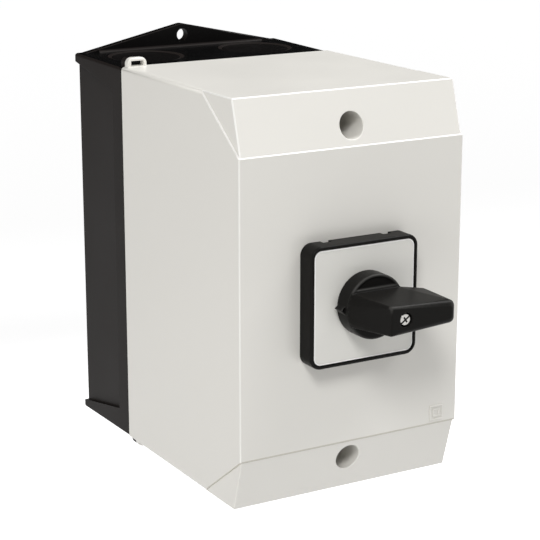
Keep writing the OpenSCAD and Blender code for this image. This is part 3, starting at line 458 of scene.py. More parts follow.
def screw_maker():
    """Nodes that put a pan-head screw on each seat of a mesh.
    The seat lies under the head, which faces as the seat says."""
    tree = bpy.data.node_groups.new("screw_maker", "GeometryNodeTree")
    sockets = tree.interface
    sockets.new_socket("Seats", in_out="INPUT", socket_type="NodeSocketGeometry")
    for name in ("Head Radius", "Head Height", "Head Rounding", "Shank Radius", "Shank Length",
                 "Thread Pitch", "Thread Depth", "Slot Width", "Slot Depth", "Cross Reach", "Clamp Side",
                 "Clamp Thickness"):
        sockets.new_socket(name, in_out="INPUT", socket_type="NodeSocketFloat").subtype = "DISTANCE"
    sockets.new_socket("Slot Turn", in_out="INPUT", socket_type="NodeSocketFloat").subtype = "ANGLE"
    sockets.new_socket("Finish", in_out="INPUT", socket_type="NodeSocketMaterial")
    sockets.new_socket("Slot Shade Finish", in_out="INPUT", socket_type="NodeSocketMaterial")
    sockets.new_socket("Screws", in_out="OUTPUT", socket_type="NodeSocketGeometry")
    size = tree.nodes.new("NodeGroupInput").outputs

    def calc(operation, *values):
        return wired(tree, "ShaderNodeMath", dict(enumerate(values)), operation=operation).outputs[0]

    def vector(x, y, z):
        return wired(tree, "ShaderNodeCombineXYZ", {"X": x, "Y": y, "Z": z}).outputs[0]

    def moved(shape, height, turn=0.0):
        return wired(tree, "GeometryNodeTransform",
                     {"Geometry": shape, "Translation": vector(0.0, 0.0, height),
                      "Rotation": vector(0.0, 0.0, turn)}).outputs[0]

    def block(x, y, z):
        return wired(tree, "GeometryNodeMeshCube", {"Size": vector(x, y, z)}).outputs["Mesh"]

    def coated(shape, finish):
        return wired(tree, "GeometryNodeSetMaterial", {"Geometry": shape, "Material": finish}).outputs[0]

    def grown(shape, top, height, widening):
        step = wired(tree, "GeometryNodeExtrudeMesh",
                     {"Mesh": shape, "Selection": top, "Offset Scale": height, "Individual": False},
                     mode="FACES")
        wide = wired(tree, "GeometryNodeScaleElements", {"Geometry": step.outputs["Mesh"], "Scale": widening,
                                                         "Selection": step.outputs["Top"]}, domain="FACE")
        return wide.outputs[0], step.outputs["Top"]

    def joined(first, second, how):
        both = wired(tree, "GeometryNodeMeshBoolean", {"Mesh 2": second}, operation=how, solver="EXACT")
        tree.links.new(first, both.inputs["Mesh 1" if how == "DIFFERENCE" else "Mesh 2"])
        return both.outputs["Mesh"]

    def where(condition, otherwise, then):
        return wired(tree, "GeometryNodeSwitch", {"Switch": condition, "False": otherwise, "True": then},
                     input_type="GEOMETRY").outputs[0]

    turns = calc("DIVIDE", size["Shank Length"], size["Thread Pitch"])
    shank = wired(tree, "GeometryNodeMeshCylinder",
                  {"Vertices": 32, "Side Segments": calc("MULTIPLY", turns, 6.0),
                   "Radius": size["Shank Radius"], "Depth": size["Shank Length"]}, fill_type="NGON")
    place = tree.nodes.new("GeometryNodeInputPosition").outputs[0]
    at = wired(tree, "ShaderNodeSeparateXYZ", {"Vector": place}).outputs
    lead = calc("DIVIDE", calc("ARCTAN2", at["Y"], at["X"]), 2 * math.pi)
    wave = calc("PINGPONG", calc("SUBTRACT", calc("DIVIDE", at["Z"], size["Thread Pitch"]), lead), 0.5)
    thread_end = calc("MULTIPLY_ADD", size["Shank Length"], 0.5, calc("MULTIPLY", size["Thread Pitch"], -1.5))
    below_head = calc("LESS_THAN", at["Z"], thread_end)
    depth = calc("MULTIPLY", calc("MULTIPLY", wave, size["Thread Depth"]), below_head)
    drawn_in = calc("SUBTRACT", 1.0, calc("DIVIDE", calc("MULTIPLY", depth, 2.0), size["Shank Radius"]))
    cut_in = vector(calc("MULTIPLY", at["X"], drawn_in), calc("MULTIPLY", at["Y"], drawn_in), at["Z"])
    threaded = wired(tree, "GeometryNodeSetPosition", {"Geometry": shank.outputs["Mesh"],
                                                       "Position": cut_in}).outputs[0]
    screw, top = moved(threaded, calc("MULTIPLY", size["Shank Length"], -0.5)), shank.outputs["Top"]
    screw, top = grown(screw, top, 0.0, calc("DIVIDE", size["Head Radius"], size["Shank Radius"]))
    screw, top = grown(screw, top, calc("SUBTRACT", size["Head Height"], size["Head Rounding"]), 1.0)
    steps = 5
    width = size["Head Radius"]
    for i in range(steps):
        low, high = math.pi / 2 * i / steps, math.pi / 2 * (i + 1) / steps
        narrower = calc("MULTIPLY_ADD", size["Head Rounding"], math.cos(high) - 1, size["Head Radius"])
        rise = calc("MULTIPLY", size["Head Rounding"], math.sin(high) - math.sin(low))
        screw, top = grown(screw, top, rise, calc("DIVIDE", narrower, width))
        width = narrower
    slot = block(calc("MULTIPLY", size["Head Radius"], 2.4), size["Slot Width"],
                 calc("MULTIPLY", size["Slot Depth"], 2.0))
    cross = block(size["Slot Width"], calc("MULTIPLY", size["Cross Reach"], 2.0),
                  calc("MULTIPLY", size["Slot Depth"], 2.6))
    cutter = where(calc("GREATER_THAN", size["Cross Reach"], 0.0), slot, joined(slot, cross, "UNION"))
    cutter = coated(cutter, size["Slot Shade Finish"])
    screw = coated(screw, size["Finish"])
    screw = joined(screw, moved(cutter, size["Head Height"], size["Slot Turn"]), "DIFFERENCE")
    clamp = block(size["Clamp Side"], size["Clamp Side"], size["Clamp Thickness"])
    clamp = moved(clamp, calc("MULTIPLY", size["Clamp Thickness"], -0.5))
    screw = where(calc("GREATER_THAN", size["Clamp Side"], 0.0), screw, joined(screw, clamp, "UNION"))
    real = on_seats(tree, size["Seats"], screw)
    slotted = wired(tree, "GeometryNodeMaterialSelection", {"Material": size["Slot Shade Finish"]}).outputs[0]
    outside = wired(tree, "FunctionNodeBooleanMath", {0: slotted}, operation="NOT").outputs[0]
    plated = wired(tree, "GeometryNodeSetMaterial", {"Geometry": real, "Selection": outside,
                                                     "Material": size["Finish"]}).outputs[0]
    wired(tree, "NodeGroupOutput", {"Screws": plated})
    return tree


def from_seats(name, maker, seats, slot, sizes):
    """A piece that a maker's nodes put on seats.
    Each seat is a place in mm (x, depth, z) and the way that it faces."""
    mesh = bpy.data.meshes.new(name)
    mesh.from_pydata([(x * mm, -d * mm, z * mm) for (x, d, z), way in seats], [], [])
    facing = mesh.attributes.new("facing", "FLOAT_VECTOR", "POINT")
    for value, (place, way) in zip(facing.data, seats):
        value.vector = way
    piece = bpy.data.objects.new(name, mesh)
    bpy.context.scene.collection.objects.link(piece)
    nodes_modifier = piece.modifiers.new("maker", "NODES")
    nodes_modifier.node_group = maker
    for socket in maker.interface.items_tree:
        if socket.in_out == "INPUT" and socket.name == "Finish":
            nodes_modifier[socket.identifier] = finishes[slot]
        elif socket.in_out == "INPUT" and socket.name == "Slot Shade Finish":
            nodes_modifier[socket.identifier] = slot_shade_steel
        elif socket.in_out == "INPUT" and socket.name in sizes:
            unit = mm if socket.subtype == "DISTANCE" else 1.0
            nodes_modifier[socket.identifier] = sizes[socket.name] * unit
    return smooth_faces(settle(piece))


screws = screw_maker()
to_front = (0, -1, 0)
small_screw = {"Head Radius": 3.2, "Head Height": 2.0, "Head Rounding": 0.7, "Shank Radius": 1.6,
               "Thread Pitch": 0.7, "Thread Depth": 0.3, "Slot Width": 0.8, "Slot Depth": 1.0,
               "Slot Turn": 0.4}
rail_seats = [((x, rail_back + rail_sheet, 0), to_front) for x in (-rail_screw_x, rail_screw_x)]
rail_screws = from_seats("rail_pan_screws", screws, rail_seats, "zinc_steel",
                         small_screw | {"Shank Length": 7.0})
finished(rail_screws, "base", "zinc_steel", "rail_screws")

# Earth terminal: a drilled brass block on its own boss, with a cross hole for the wire and a clamping screw.
# It is sawn from square bar, with broken edges.
earth_x, earth_z, earth_front = -33.0, -46.0, 18.0


def softened(name, node, radius):
    """A copy of a node with the edges of the block that it is cut from rounded."""
    low, high = (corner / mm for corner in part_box(node))
    left, right, foot, top = low.x + skin, high.x - skin, low.z + skin, high.z - skin
    outline = [(left, foot), (right, foot), (right, top), (left, top)]
    block = prism("block", outline, -high.y + skin, -low.y - skin)
    round_edges(block, lambda x, d, z: radius, 3)
    return combine(merged_copy(name, node), block, "INTERSECT")


earth_block = softened("earth_terminal_block", "earth_terminal", 0.5)
finished(smooth_faces(earth_block), "base", "brass", "earth_terminal")
earth_seat = [((earth_x, earth_front, earth_z), to_front)]
earth_screw = from_seats("earth_pan_screw", screws, earth_seat, "zinc_steel",
                         small_screw | {"Shank Length": 14.0, "Slot Turn": 1.1})
finished(earth_screw, "base", "zinc_steel", "earth_screw")

# Switch foot: the rear block of the switch, which hooks over the top edge of the rail.
# It is moulded from black thermoset, as the contact chambers in front of it are.
finishes["switch_moulding"] = moulded_plastic("switch_moulding", (0.03, 0.03, 0.032), 0.5, 0.4, cloud=0.08)
foot = softened("switch_foot_moulding", "switch_foot", 0.8)
finished(smooth_faces(foot), "base", "switch_moulding", "switch_foot")

# Rail latch: a white slide in the foot that snaps under the rail, with a slot for a screwdriver.
# It is moulded from nylon, and a small coil spring above it holds it up.
finishes["white_nylon"] = moulded_plastic("white_nylon", (0.75, 0.73, 0.66), 0.4, 0.4, cloud=0.015)
latch = softened("rail_latch_slide", "rail_latch", 0.4)
finished(smooth_faces(latch), "rail_latch", "white_nylon", "rail_latch")
finishes["spring_steel"] = plated_metal("spring_steel", (0.5, 0.5, 0.5), 0.3)


def spring_maker():
    """Nodes that put a coil spring on each seat of a mesh.
    The spring rises from the seat the way that the seat faces."""
    tree = bpy.data.node_groups.new("spring_maker", "GeometryNodeTree")
    sockets = tree.interface
    sockets.new_socket("Seats", in_out="INPUT", socket_type="NodeSocketGeometry")
    for name in ("Mean Radius", "Wire Radius", "Length"):
        sockets.new_socket(name, in_out="INPUT", socket_type="NodeSocketFloat").subtype = "DISTANCE"
    sockets.new_socket("Turns", in_out="INPUT", socket_type="NodeSocketFloat")
    sockets.new_socket("Finish", in_out="INPUT", socket_type="NodeSocketMaterial")
    sockets.new_socket("Springs", in_out="OUTPUT", socket_type="NodeSocketGeometry")
    size = tree.nodes.new("NodeGroupInput").outputs
    rise = wired(tree, "ShaderNodeMath", {0: size["Wire Radius"], 1: -2.0, 2: size["Length"]},
                 operation="MULTIPLY_ADD").outputs[0]
    coil = wired(tree, "GeometryNodeCurveSpiral",
                 {"Resolution": 32, "Rotations": size["Turns"], "Start Radius": size["Mean Radius"],
                  "End Radius": size["Mean Radius"], "Height": rise}).outputs[0]
    wire = wired(tree, "GeometryNodeCurvePrimitiveCircle", {"Resolution": 12, "Radius": size["Wire Radius"]})
    tube = wired(tree, "GeometryNodeCurveToMesh", {"Curve": coil, "Profile Curve": wire.outputs[0],
                                                   "Fill Caps": True}).outputs[0]
    lift = wired(tree, "ShaderNodeCombineXYZ", {"Z": size["Wire Radius"]}).outputs[0]
    tube = wired(tree, "GeometryNodeTransform", {"Geometry": tube, "Translation": lift}).outputs[0]
    real = on_seats(tree, size["Seats"], tube)
    drawn = wired(tree, "GeometryNodeSetMaterial", {"Geometry": real, "Material": size["Finish"]}).outputs[0]
    wired(tree, "NodeGroupOutput", {"Springs": drawn})
    return tree


springs = spring_maker()
latch_spring_depth, latch_spring_foot, to_top = 17.2, -5.95, (0, 0, 1)
latch_seat = [((0, latch_spring_depth, latch_spring_foot), to_top)]
latch_spring = from_seats("latch_coil", springs, latch_seat, "spring_steel",
                          {"Mean Radius": 1.5, "Wire Radius": 0.3, "Length": 9.9, "Turns": 6.0})
finished(latch_spring, "base", "spring_steel", "latch_spring")

# Contact chambers: three like blocks on the foot, each with a cam hole, two contact rooms and barriers
# between its terminals. Each is a thermoset moulding, with the terminal strips laid in its slots.
first_back, chamber_depth, contact_inset = 24.0, 14.0, 8.0
chamber_backs = {k: first_back + chamber_depth * (k - 1) for k in (1, 2, 3)}
contact_depths = {k: back + contact_inset for k, back in chamber_backs.items()}
for k in chamber_backs:
    chamber = softened(f"contact_chamber_{k}_moulding", f"contact_chamber_{k}", 0.6)
    finished(smooth_faces(chamber), "base", "switch_moulding", f"contact_chamber_{k}")

# Terminal screws: twelve slotted screws with square clamp plates, four to a chamber.
# They face outwards, and clamp the wires on the copper strips.
clamp_front, terminal_z = 11.9, 27.0
terminal_seats = []
for depth in contact_depths.values():
    for sx in (-1, 1):
        for sz in (-1, 1):
            terminal_seats.append(((sx * clamp_front, depth, sz * terminal_z), (sx, 0, 0)))
terminal_screws = from_seats(
    "terminal_clamp_screws", screws, terminal_seats, "zinc_steel",
    {"Head Radius": 2.7, "Head Height": 2.2, "Head Rounding": 0.5, "Shank Radius": 1.6, "Shank Length": 4.9,
     "Thread Pitch": 0.6, "Thread Depth": 0.25, "Slot Width": 0.8, "Slot Depth": 1.1, "Slot Turn": 0.6,
     "Clamp Side": 6.0, "Clamp Thickness": 1.2})
finished(terminal_screws, "base", "zinc_steel", *[f"terminal_screws_{k}" for k in chamber_backs])

# Contact springs: six coils of drawn wire that press the bridges inwards, two to a chamber.
# Each stands between a bridge and the side wall of its room.
spring_foot = 15.75
spring_seats = [((sx * spring_foot, depth, 0), (sx, 0, 0))
                for depth in contact_depths.values() for sx in (-1, 1)]
contact_springs = from_seats("contact_coils", springs, spring_seats, "spring_steel",
                             {"Mean Radius": 2.3, "Wire Radius": 0.28, "Length": 5.7, "Turns": 4.0})
finished(contact_springs, "base", "spring_steel",
         *[f"contact_spring_{k}_{side}" for k in chamber_backs for side in ("left", "right")])

# Latch housing: the front block of the switch, round the star wheel that makes the knob click.
# It is moulded like the chambers, and closes the stack.
housing = softened("latch_housing_moulding", "latch_housing", 0.8)
finished(smooth_faces(housing), "base", "switch_moulding", "latch_housing")

# Tie bolts: four long screws through the latch housing and the chambers into nuts in the foot.
# Their round slotted heads stand on the front of the latch housing.
tie_at, latch_front = 19.0, 80.0
tie_seats = [((sx * tie_at, latch_front, sz * tie_at), to_front) for sx in (-1, 1) for sz in (-1, 1)]
tie_bolts = from_seats("tie_bolt_screws", screws, tie_seats, "zinc_steel",
                       {"Head Radius": 3.6, "Head Height": 2.4, "Head Rounding": 0.8, "Shank Radius": 2.0,
                        "Shank Length": 64.35, "Thread Pitch": 1.0, "Thread Depth": 0.3, "Slot Width": 0.9,
                        "Slot Depth": 1.1, "Slot Turn": 0.9})
finished(tie_bolts, "base", "zinc_steel", "tie_bolts")

# Coupling socket: the round nylon socket at the front of the switch that takes the square drive shaft.
# It turns with the cam shaft, and its rim is rounded to guide the shaft in.
hub_back, hub_neck, hub_shoulder, hub_side, hub_front = 76.66, 7.99, 80.41, 9.99, 91.99
hub_chamfer, hub_chamfer_front, hub_rim, hub_steps = 0.5, 80.9, 1.0, 6
hub_profile = [(0, hub_back), (hub_neck, hub_back), (hub_neck, hub_shoulder),
               (hub_side - hub_chamfer, hub_shoulder), (hub_side, hub_chamfer_front)]
for i in range(hub_steps + 1):
    angle = math.radians(90 * i / hub_steps)
    hub_profile.append((hub_side - hub_rim + hub_rim * math.cos(angle),
                        hub_front - hub_rim + hub_rim * math.sin(angle)))
hub_profile.append((0, hub_front))
hub_form = turned("hub_form", hub_profile)
coupling = combine(merged_copy("coupling_hub", "coupling_socket"), hub_form, "INTERSECT")
finished(smooth_faces(coupling), "rotor", "white_nylon", "coupling_socket")

# Cover: the pale grey deep box that closes the base, with sloping ends and two deep screw recesses.
# It is moulded from the same kind of plastic, with rounded outside edges and a raised square-in-square mark.
# Its outside is drawn here, and the hollow, tubes and seal groove come from the frame.
# The cover's shading colour is paler: it paints highlights on the roundings round the panel, and shade where
# its share is below nought.
finishes["cover_grey"] = moulded_plastic("cover_grey", (0.71, 0.694, 0.652), 0.3, 0.5, cloud=0.008,
                                         painted_shading=(0.95, 0.945, 0.93))
cover_side, cover_end, cover_back, cover_front = 50 - skin, 80 - skin, 46.65 + skin, 145 - skin
slope_z, step_d, slope_d, ends_side, ends_sink = 58.65, 115.6, 138.8, 49.25 - skin, 0.45 + skin
well_z, well_radius, well_rim = insert_z, 5.2, 0.35
cover_rim, panel_top_round, panel_low_round, long_corner, slant_round = 0.5, 0.15, 0.45, 2.35, 0.35


def sloped_side(back, shoulder, front):
    """The cover seen from the side: a box whose front edges slope off from the shoulder."""
    return [(back, -cover_end), (shoulder, -cover_end), (front, -slope_z), (front, slope_z),
            (shoulder, cover_end), (back, cover_end)]


def cover_radius(x, d, z):
    """Rounding of the cover: its back rim, the ends of its panel, its long corners and its slants."""
    if d < 48:
        return cover_rim
    if abs(x) < 45:
        if d < 140:
            return 0.0
        return panel_top_round if z > 0 else panel_low_round
    if d > 144 and abs(z) < 50:
        return cover_rim
    return long_corner if abs(z) > 79 else slant_round


def ends_radius(x, d, z):
    """Rounding of the narrower block that the sloping ends are cut on."""
    if d < step_d + 0.5:
        return 0.0
    return 0.0 if abs(x) < 45 and abs(z) < 70 else cover_rim


cover_form = prism("cover_form", sloped_side(cover_back, step_d, cover_front), -cover_side, cover_side, "x")
round_edges(cover_form, cover_radius)
ends_form = prism("ends_form", sloped_side(step_d, slope_d - ends_sink, cover_front - ends_sink), -ends_side,
                  ends_side, "x")
round_edges(ends_form, ends_radius)
combine(cover_form, ends_form, "UNION")
for sign in (-1, 1):
    add_eyelet(cover_form, sign, cover_back, cover_back + eyelet_thickness - 2 * skin)
cover = combine(merged_copy("cover_shell", "cover"), cover_form, "INTERSECT")


def well_edge(x, d, z):
    """Rounding of the mouths of the two screw recesses, and of nothing else."""
    return well_rim if d > 130 and abs(math.hypot(x, abs(z) - well_z) - well_radius) < 0.15 else 0.0


round_edges(cover, well_edge, 3)


def square_outline(half, x=0.0, z=0.0):
    """A square about a point."""
    return [(x - half, z - half), (x + half, z - half), (x + half, z + half), (x - half, z + half)]


def frame_ring(name, outer, inner, low, high):
    """A frame between two outlines of as many points, from low to high along the depth."""
    n = len(outer)
    corners = [(u, d, v) for d in (low, high) for outline in (outer, inner) for u, v in outline]
    faces = []
    for i in range(n):
        j = (i + 1) % n
        for a, b in ((0, n), (2 * n, 3 * n), (0, 2 * n), (n, 3 * n)):
            faces.append([a + i, a + j, b + j, b + i])
    return solid(name, corners, faces)


mark_x, mark_z, mark_line, mark_front = 40.3, -54.1, 0.6, 145.4 - skin
mark_outer, mark_inner = 3.15, 1.65
for half in (mark_outer, mark_inner):
    mark = frame_ring("mark", square_outline(half, mark_x, mark_z),
                      square_outline(half - mark_line, mark_x, mark_z), cover_front - 0.5, mark_front)
    round_edges(mark, lambda x, d, z: 0.12 if d > cover_front + 0.2 else 0.0, 2)
    combine(cover, mark, "UNION")


def under_panel(x, d, z, near=0.6):
    """True on the narrow step below the panel: along its lower edge and down the slant at its sides."""
    slant = Vector((step_d - cover_front, slope_z - cover_end)).normalized()
    off_slant = abs((d - cover_front) * slant.y - (z + slope_z) * slant.x)
    if off_slant < near and abs(x) > ends_side - 0.2:
        return True
    return abs(z + slope_z) < near and d > cover_front - near


slope_run = math.hypot(cover_end - slope_z, cover_front - slope_d)
slope_y, slope_up = (cover_end - slope_z) / slope_run, (cover_front - slope_d) / slope_run
side_highlight, step_shade, top_highlight = 0.3, -0.8, 0.5


def edge_highlight_and_shade(x, d, z, way):
    """Share of shading colour on the narrow roundings round the panel and the sloping ends: painted
    highlights at the sides and upper edges, and, below nought, painted shade on the step under the panel.
    """
    if d < step_d - 0.5 or math.hypot(x, abs(z) - well_z) < well_radius + 1:
        return 0.0
    folded = Vector([abs(c) for c in way])
    flat = [Vector((0, 1, 0)), Vector((1, 0, 0)), Vector((0, 0, 1)), Vector((0, slope_y, slope_up))]
    if min(folded.angle(side) for side in flat) < math.radians(5):
        return 0.0
    if abs(x) > ends_side - 1 and abs(z) < slope_z:
        return side_highlight
    if under_panel(x, d, z):
        return step_shade
    return top_highlight if z > 0 else 0.0


smooth_faces(cover)
# The roundings at the sides and upper edges of the panel are painted lighter as painted highlights, and the
# step under it darker as painted shade.
paint_shading(cover, edge_highlight_and_shade)
finished(cover, "cover", "cover_grey", "cover")

# Cover seal: a soft black ring in the groove of the cover, pressed by the tongue of the base.
# It is an extruded rubber profile with rounded edges, joined end to end.
finishes["seal_rubber"] = moulded_plastic("seal_rubber", (0.02, 0.02, 0.021), 0.7, 0.3, cloud=0.1)


def round_rectangle(half_x, half_z, radius, steps=8):
    """A rectangle with round corners, about the middle."""
    return rounded_outline([(-half_x, -half_z, radius), (half_x, -half_z, radius), (half_x, half_z, radius),
                            (-half_x, half_z, radius)], steps)


seal_side, seal_end, seal_width, seal_corner = tongue_side - skin, tongue_end - skin, 2.6 - 2 * skin, 2.2
seal_back, seal_front = 51.6 + skin, 56.0 - skin
seal = frame_ring("cover_seal_ring", round_rectangle(seal_side, seal_end, seal_corner),
                  round_rectangle(seal_side - seal_width, seal_end - seal_width, seal_corner / 2),
                  seal_back, seal_front)
round_edges(seal, lambda x, d, z: 0.6 if d < seal_back + 0.1 or d > seal_front - 0.1 else 0.0, 3)
finished(smooth_faces(seal), "cover", "seal_rubber", "cover_seal")

# Cover screws: two long screws deep in the recesses, which pull the cover on to the base.
# They are zinc-plated steel with a slot and a cross, on rubber washers.
cover_seat_depth = 58.4
cover_seats = [((0, cover_seat_depth, sign * well_z), to_front) for sign in (-1, 1)]
cover_screws = from_seats("cover_long_screws", screws, cover_seats, "zinc_steel",
                          {"Head Radius": 4.2, "Head Height": 4.0, "Head Rounding": 0.9, "Shank Radius": 2.5,
                           "Shank Length": 23.9, "Thread Pitch": 0.8, "Thread Depth": 0.4, "Slot Width": 1.0,
                           "Slot Depth": 1.8, "Slot Turn": 0.7, "Cross Reach": 2.6})
finished(cover_screws, "cover", "zinc_steel", "cover_screws")

# Bezel frame: the black square frame of the operating front, with the bearing for the knob behind it.
# It is moulded, and screwed to the panel from the front, under the legend plate.
# The trim's shading colour is lighter: on the knob's edges it is a painted highlight.
finishes["trim_black"] = moulded_plastic("trim_black", (0.0072, 0.0068, 0.0062), 0.36, 0.05,
                                         painted_shading=(0.04, 0.039, 0.037))
bezel_half, bezel_corner, bezel_rim, bezel_back, bezel_front = 24 - skin, 4.6, 1.4, 145 + skin, 153.4 - skin
legend_back, floor_back, corner_reach = 152.2, 130, 30.9
opening_half = bezel_half - bezel_rim + 2 * skin
bezel_form = frame_ring("bezel_form", round_rectangle(bezel_half, bezel_half, bezel_corner, 12),
                        round_rectangle(opening_half, opening_half, bezel_corner - bezel_rim, 12),
                        bezel_back, bezel_front)


def bezel_radius(x, d, z):
    """Rounding of the bezel: wide round its front, narrow round the opening and along the panel."""
    outside = max(abs(x), abs(z)) > (bezel_half + opening_half) / 2 or math.hypot(x, z) > corner_reach
    if d > bezel_front - 0.1:
        return 0.9 if outside else 0.3
    return 0.25 if outside and d < bezel_back + 0.1 else 0.0


round_edges(bezel_form, bezel_radius)
inner_half = opening_half + 0.3
combine(bezel_form, prism("floor", round_rectangle(inner_half, inner_half, bezel_corner - bezel_rim),
                          floor_back, legend_back + 3 * skin), "UNION")
bezel = combine(merged_copy("bezel_frame_shell", "bezel_frame"), bezel_form, "INTERSECT")
finished(smooth_faces(bezel), "cover", "trim_black", "bezel_frame")

# Legend plate: the pale square plate that snaps into the bezel round the knob.
# It is a flat moulding with a rounded border and a smooth satin face; the border is painted lighter as a
# painted highlight.
# Its shading colour is paler, for the painted highlight on the border.
finishes["legend_grey"] = moulded_plastic("legend_grey", (0.71, 0.70, 0.66), 0.42, 0.5, cloud=0.003,
                                          relief=0.05, painted_shading=(0.95, 0.945, 0.93))
plate_half, plate_corner, plate_front = 22.45 - skin, 3.05, 153 - skin
plate_form = prism("plate_form", round_rectangle(plate_half, plate_half, plate_corner, 12),
                   legend_back + skin, plate_front)
round_edges(plate_form, lambda x, d, z: 0.25 if d > plate_front - 0.1 else 0.0)
plate_border, face_sink = 0.55, 0.05
face_half = plate_half - plate_border
face_outline = round_rectangle(face_half, face_half, plate_corner - plate_border, 12)
combine(plate_form, prism("face", face_outline, plate_front - face_sink, plate_front + 1), "DIFFERENCE")
plate = combine(merged_copy("legend_plate_face", "legend_plate"), plate_form, "INTERSECT")
smooth_faces(plate)
# The border round the sunk face is painted lighter: a painted highlight.
paint_shading(plate, lambda x, d, z, way: 1.0 if d > plate_front - face_sink / 2 else 0.0)
finished(plate, "cover", "legend_grey", "legend_plate")

# Knob: a disc with a pointer, a sunk half-moon flat and a bar grip with one long end.
# It is one moulding with softly rounded edges, painted lighter as painted highlights, and its neck turns in
# the bezel.
knob_back, knob_front, recess_reach = 153.35, 176.0, 3.6
neck_behind, grip_ahead = 100, 200
disc_front, moon_edge = 161.1, 7.5
flank_edge, flank_front, flank_top = -4.0, 179.6, 4.2


def keep_part(piece, low, high):
    """Keeps the part of a piece between two depths, with the cuts closed."""
    return combine(piece, prism("keep", square_outline(60), low, high), "INTERSECT")


def melted(piece, grain, keep, rounds_at):
    """Softens every edge of a piece: it is rebuilt in small grains, evened out, and thinned to a share.
    A place is evened out as many times as rounds_at gives for its x."""
    remesh = piece.modifiers.new("grains", "REMESH")
    remesh.mode = "VOXEL"
    remesh.voxel_size = grain * mm
    settle(piece)
    shape = bmesh.new()
    shape.from_mesh(piece.data)
    rounds = {point: rounds_at(point.co.x / mm) for point in shape.verts}
    for i in range(max(rounds.values())):
        bmesh.ops.smooth_vert(shape, verts=[point for point in shape.verts if rounds[point] > i], factor=0.5,
                              use_axis_x=True, use_axis_y=True, use_axis_z=True)
    shape.to_mesh(piece.data)
    shape.free()
    thin = piece.modifiers.new("thin", "DECIMATE")
    thin.ratio = keep
    settle(piece)
    piece.data.shade_smooth()
    return piece


def paint_edge_highlights(piece, least, most):
    """Paints highlights on the outside edges of the knob: nought where it curves less than least per mm, and
    one where it curves more than most. The screw recess and the grip's left flank stay unpainted, and the
    half-moon's edge always takes the painted highlight."""
    shape = bmesh.new()
    shape.from_mesh(piece.data)
    shape.normal_update()
    marks = shape.verts.layers.float.new("painted_shading")
    for point in shape.verts:
        around = [edge.other_vert(point).co - point.co for edge in point.link_edges]
        bend = sum(-2 * way.dot(point.normal) / way.length_squared for way in around) / len(around) * mm
        x, d, z = point.co.x / mm, -point.co.y / mm, point.co.z / mm
        recess = math.hypot(x, z) < recess_reach and d > knob_front
        flank = x < flank_edge and d > disc_front + 0.5 and (d < flank_front or z < flank_top)
        share = 0.0 if recess or flank else min(max((bend - least) / (most - least), 0), 1)
        point[marks] = 1.0 if abs(z - moon_edge) < 0.35 and abs(d - disc_front) < 0.6 else share
    for i in range(3):
        evened = {}
        for point in shape.verts:
            shares = [edge.other_vert(point)[marks] for edge in point.link_edges]
            evened[point] = (point[marks] + sum(shares) / len(shares)) / 2
        for point, share in evened.items():
            point[marks] = share
    shape.to_mesh(piece.data)
    shape.free()


def soft_rounds(x, fewest=4, more=6, start=-6, run=8):
    """How often a place of the knob is evened out: few times at its crisp left end, more to the right."""
    return round(fewest + more * min(max((x - start) / run, 0), 1))


neck = keep_part(merged_copy("knob_neck", "handle"), neck_behind, knob_back)
finished(smooth_faces(neck), "handle", "trim_black")
knob = keep_part(merged_copy("knob", "handle"), knob_back, grip_ahead)
melted(knob, grain=0.2, keep=0.4, rounds_at=soft_rounds)
# The knob's sharply curved edges are painted lighter: painted highlights.
paint_edge_highlights(knob, least=0.15, most=0.5)
finished(knob, "handle", "trim_black", "handle")

# Knob screw: a bright pan-head screw that holds the knob on the square shaft.
# It is zinc-plated steel, with a slot and a cross cut into its head.
knob_seat_depth = 178.85
knob_seat = [((0, knob_seat_depth, 0), to_front)]
knob_screw = from_seats("knob_pan_screw", screws, knob_seat, "zinc_steel",
                        {"Head Radius": 2.3, "Head Height": 1.6, "Head Rounding": 0.45, "Shank Radius": 1.3,
                         "Shank Length": 9.8, "Thread Pitch": 0.5, "Thread Depth": 0.2, "Slot Width": 0.7,
                         "Slot Depth": 1.0, "Slot Turn": 0.61, "Cross Reach": 1.25})
finished(knob_screw, "handle", "zinc_steel", "handle_screw")

# Drive shaft: the square bar that carries the knob's turn through the cover into the coupling socket.
# It is drawn from steel with narrow round edges, zinc plated.
shaft = softened("drive_bar", "drive_shaft", 0.35)
finished(smooth_faces(shaft), "handle", "zinc_steel", "drive_shaft")

# Small inside pieces: contacts, cams, plungers, nuts, washers and rings keep the shape that the frame gives.
# Each takes the finish of its slot: stamped copper, moulded nylon, plated steel or rubber.
finishes["copper"] = plated_metal("copper", (0.72, 0.42, 0.27), 0.3)
for piece in frame["record"]["subparts"]:
    node = nodes[piece["node"]]
    if not node.hide_render:
        node.data.materials.clear()
        node.data.materials.append(finishes[piece["material_slot"]])

# Studio: a pale floor well below the part, a white sky and three soft lamps.
# The floor is lifted to white further out, where the lamps don't reach it, and keeps its shadow near
# the part.
floor_z, floor_half = -0.26, 6.0


def flat_sheet(name, corners):
    """A flat sheet of the studio, from its four corners."""
    mesh = bpy.data.meshes.new(name)
    mesh.from_pydata(corners, [], [(0, 1, 2, 3)])
    sheet = bpy.data.objects.new(name, mesh)
    bpy.context.scene.collection.objects.link(sheet)
    return sheet


floor = flat_sheet("floor", [(sx * floor_half, sy * floor_half, floor_z)
                             for sx, sy in ((-1, -1), (1, -1), (1, 1), (-1, 1))])


def seen_rays(tree):
    """One where a ray comes from the camera, a reflection or a window, and nought elsewhere."""
    path = tree.nodes.new("ShaderNodeLightPath").outputs
    first = wired(tree, "ShaderNodeMath", {0: path["Is Camera Ray"], 1: path["Is Glossy Ray"]},
                  operation="MAXIMUM")
    return wired(tree, "ShaderNodeMath", {0: first.outputs[0], 1: path["Is Transmission Ray"]},
                 operation="MAXIMUM").outputs[0]


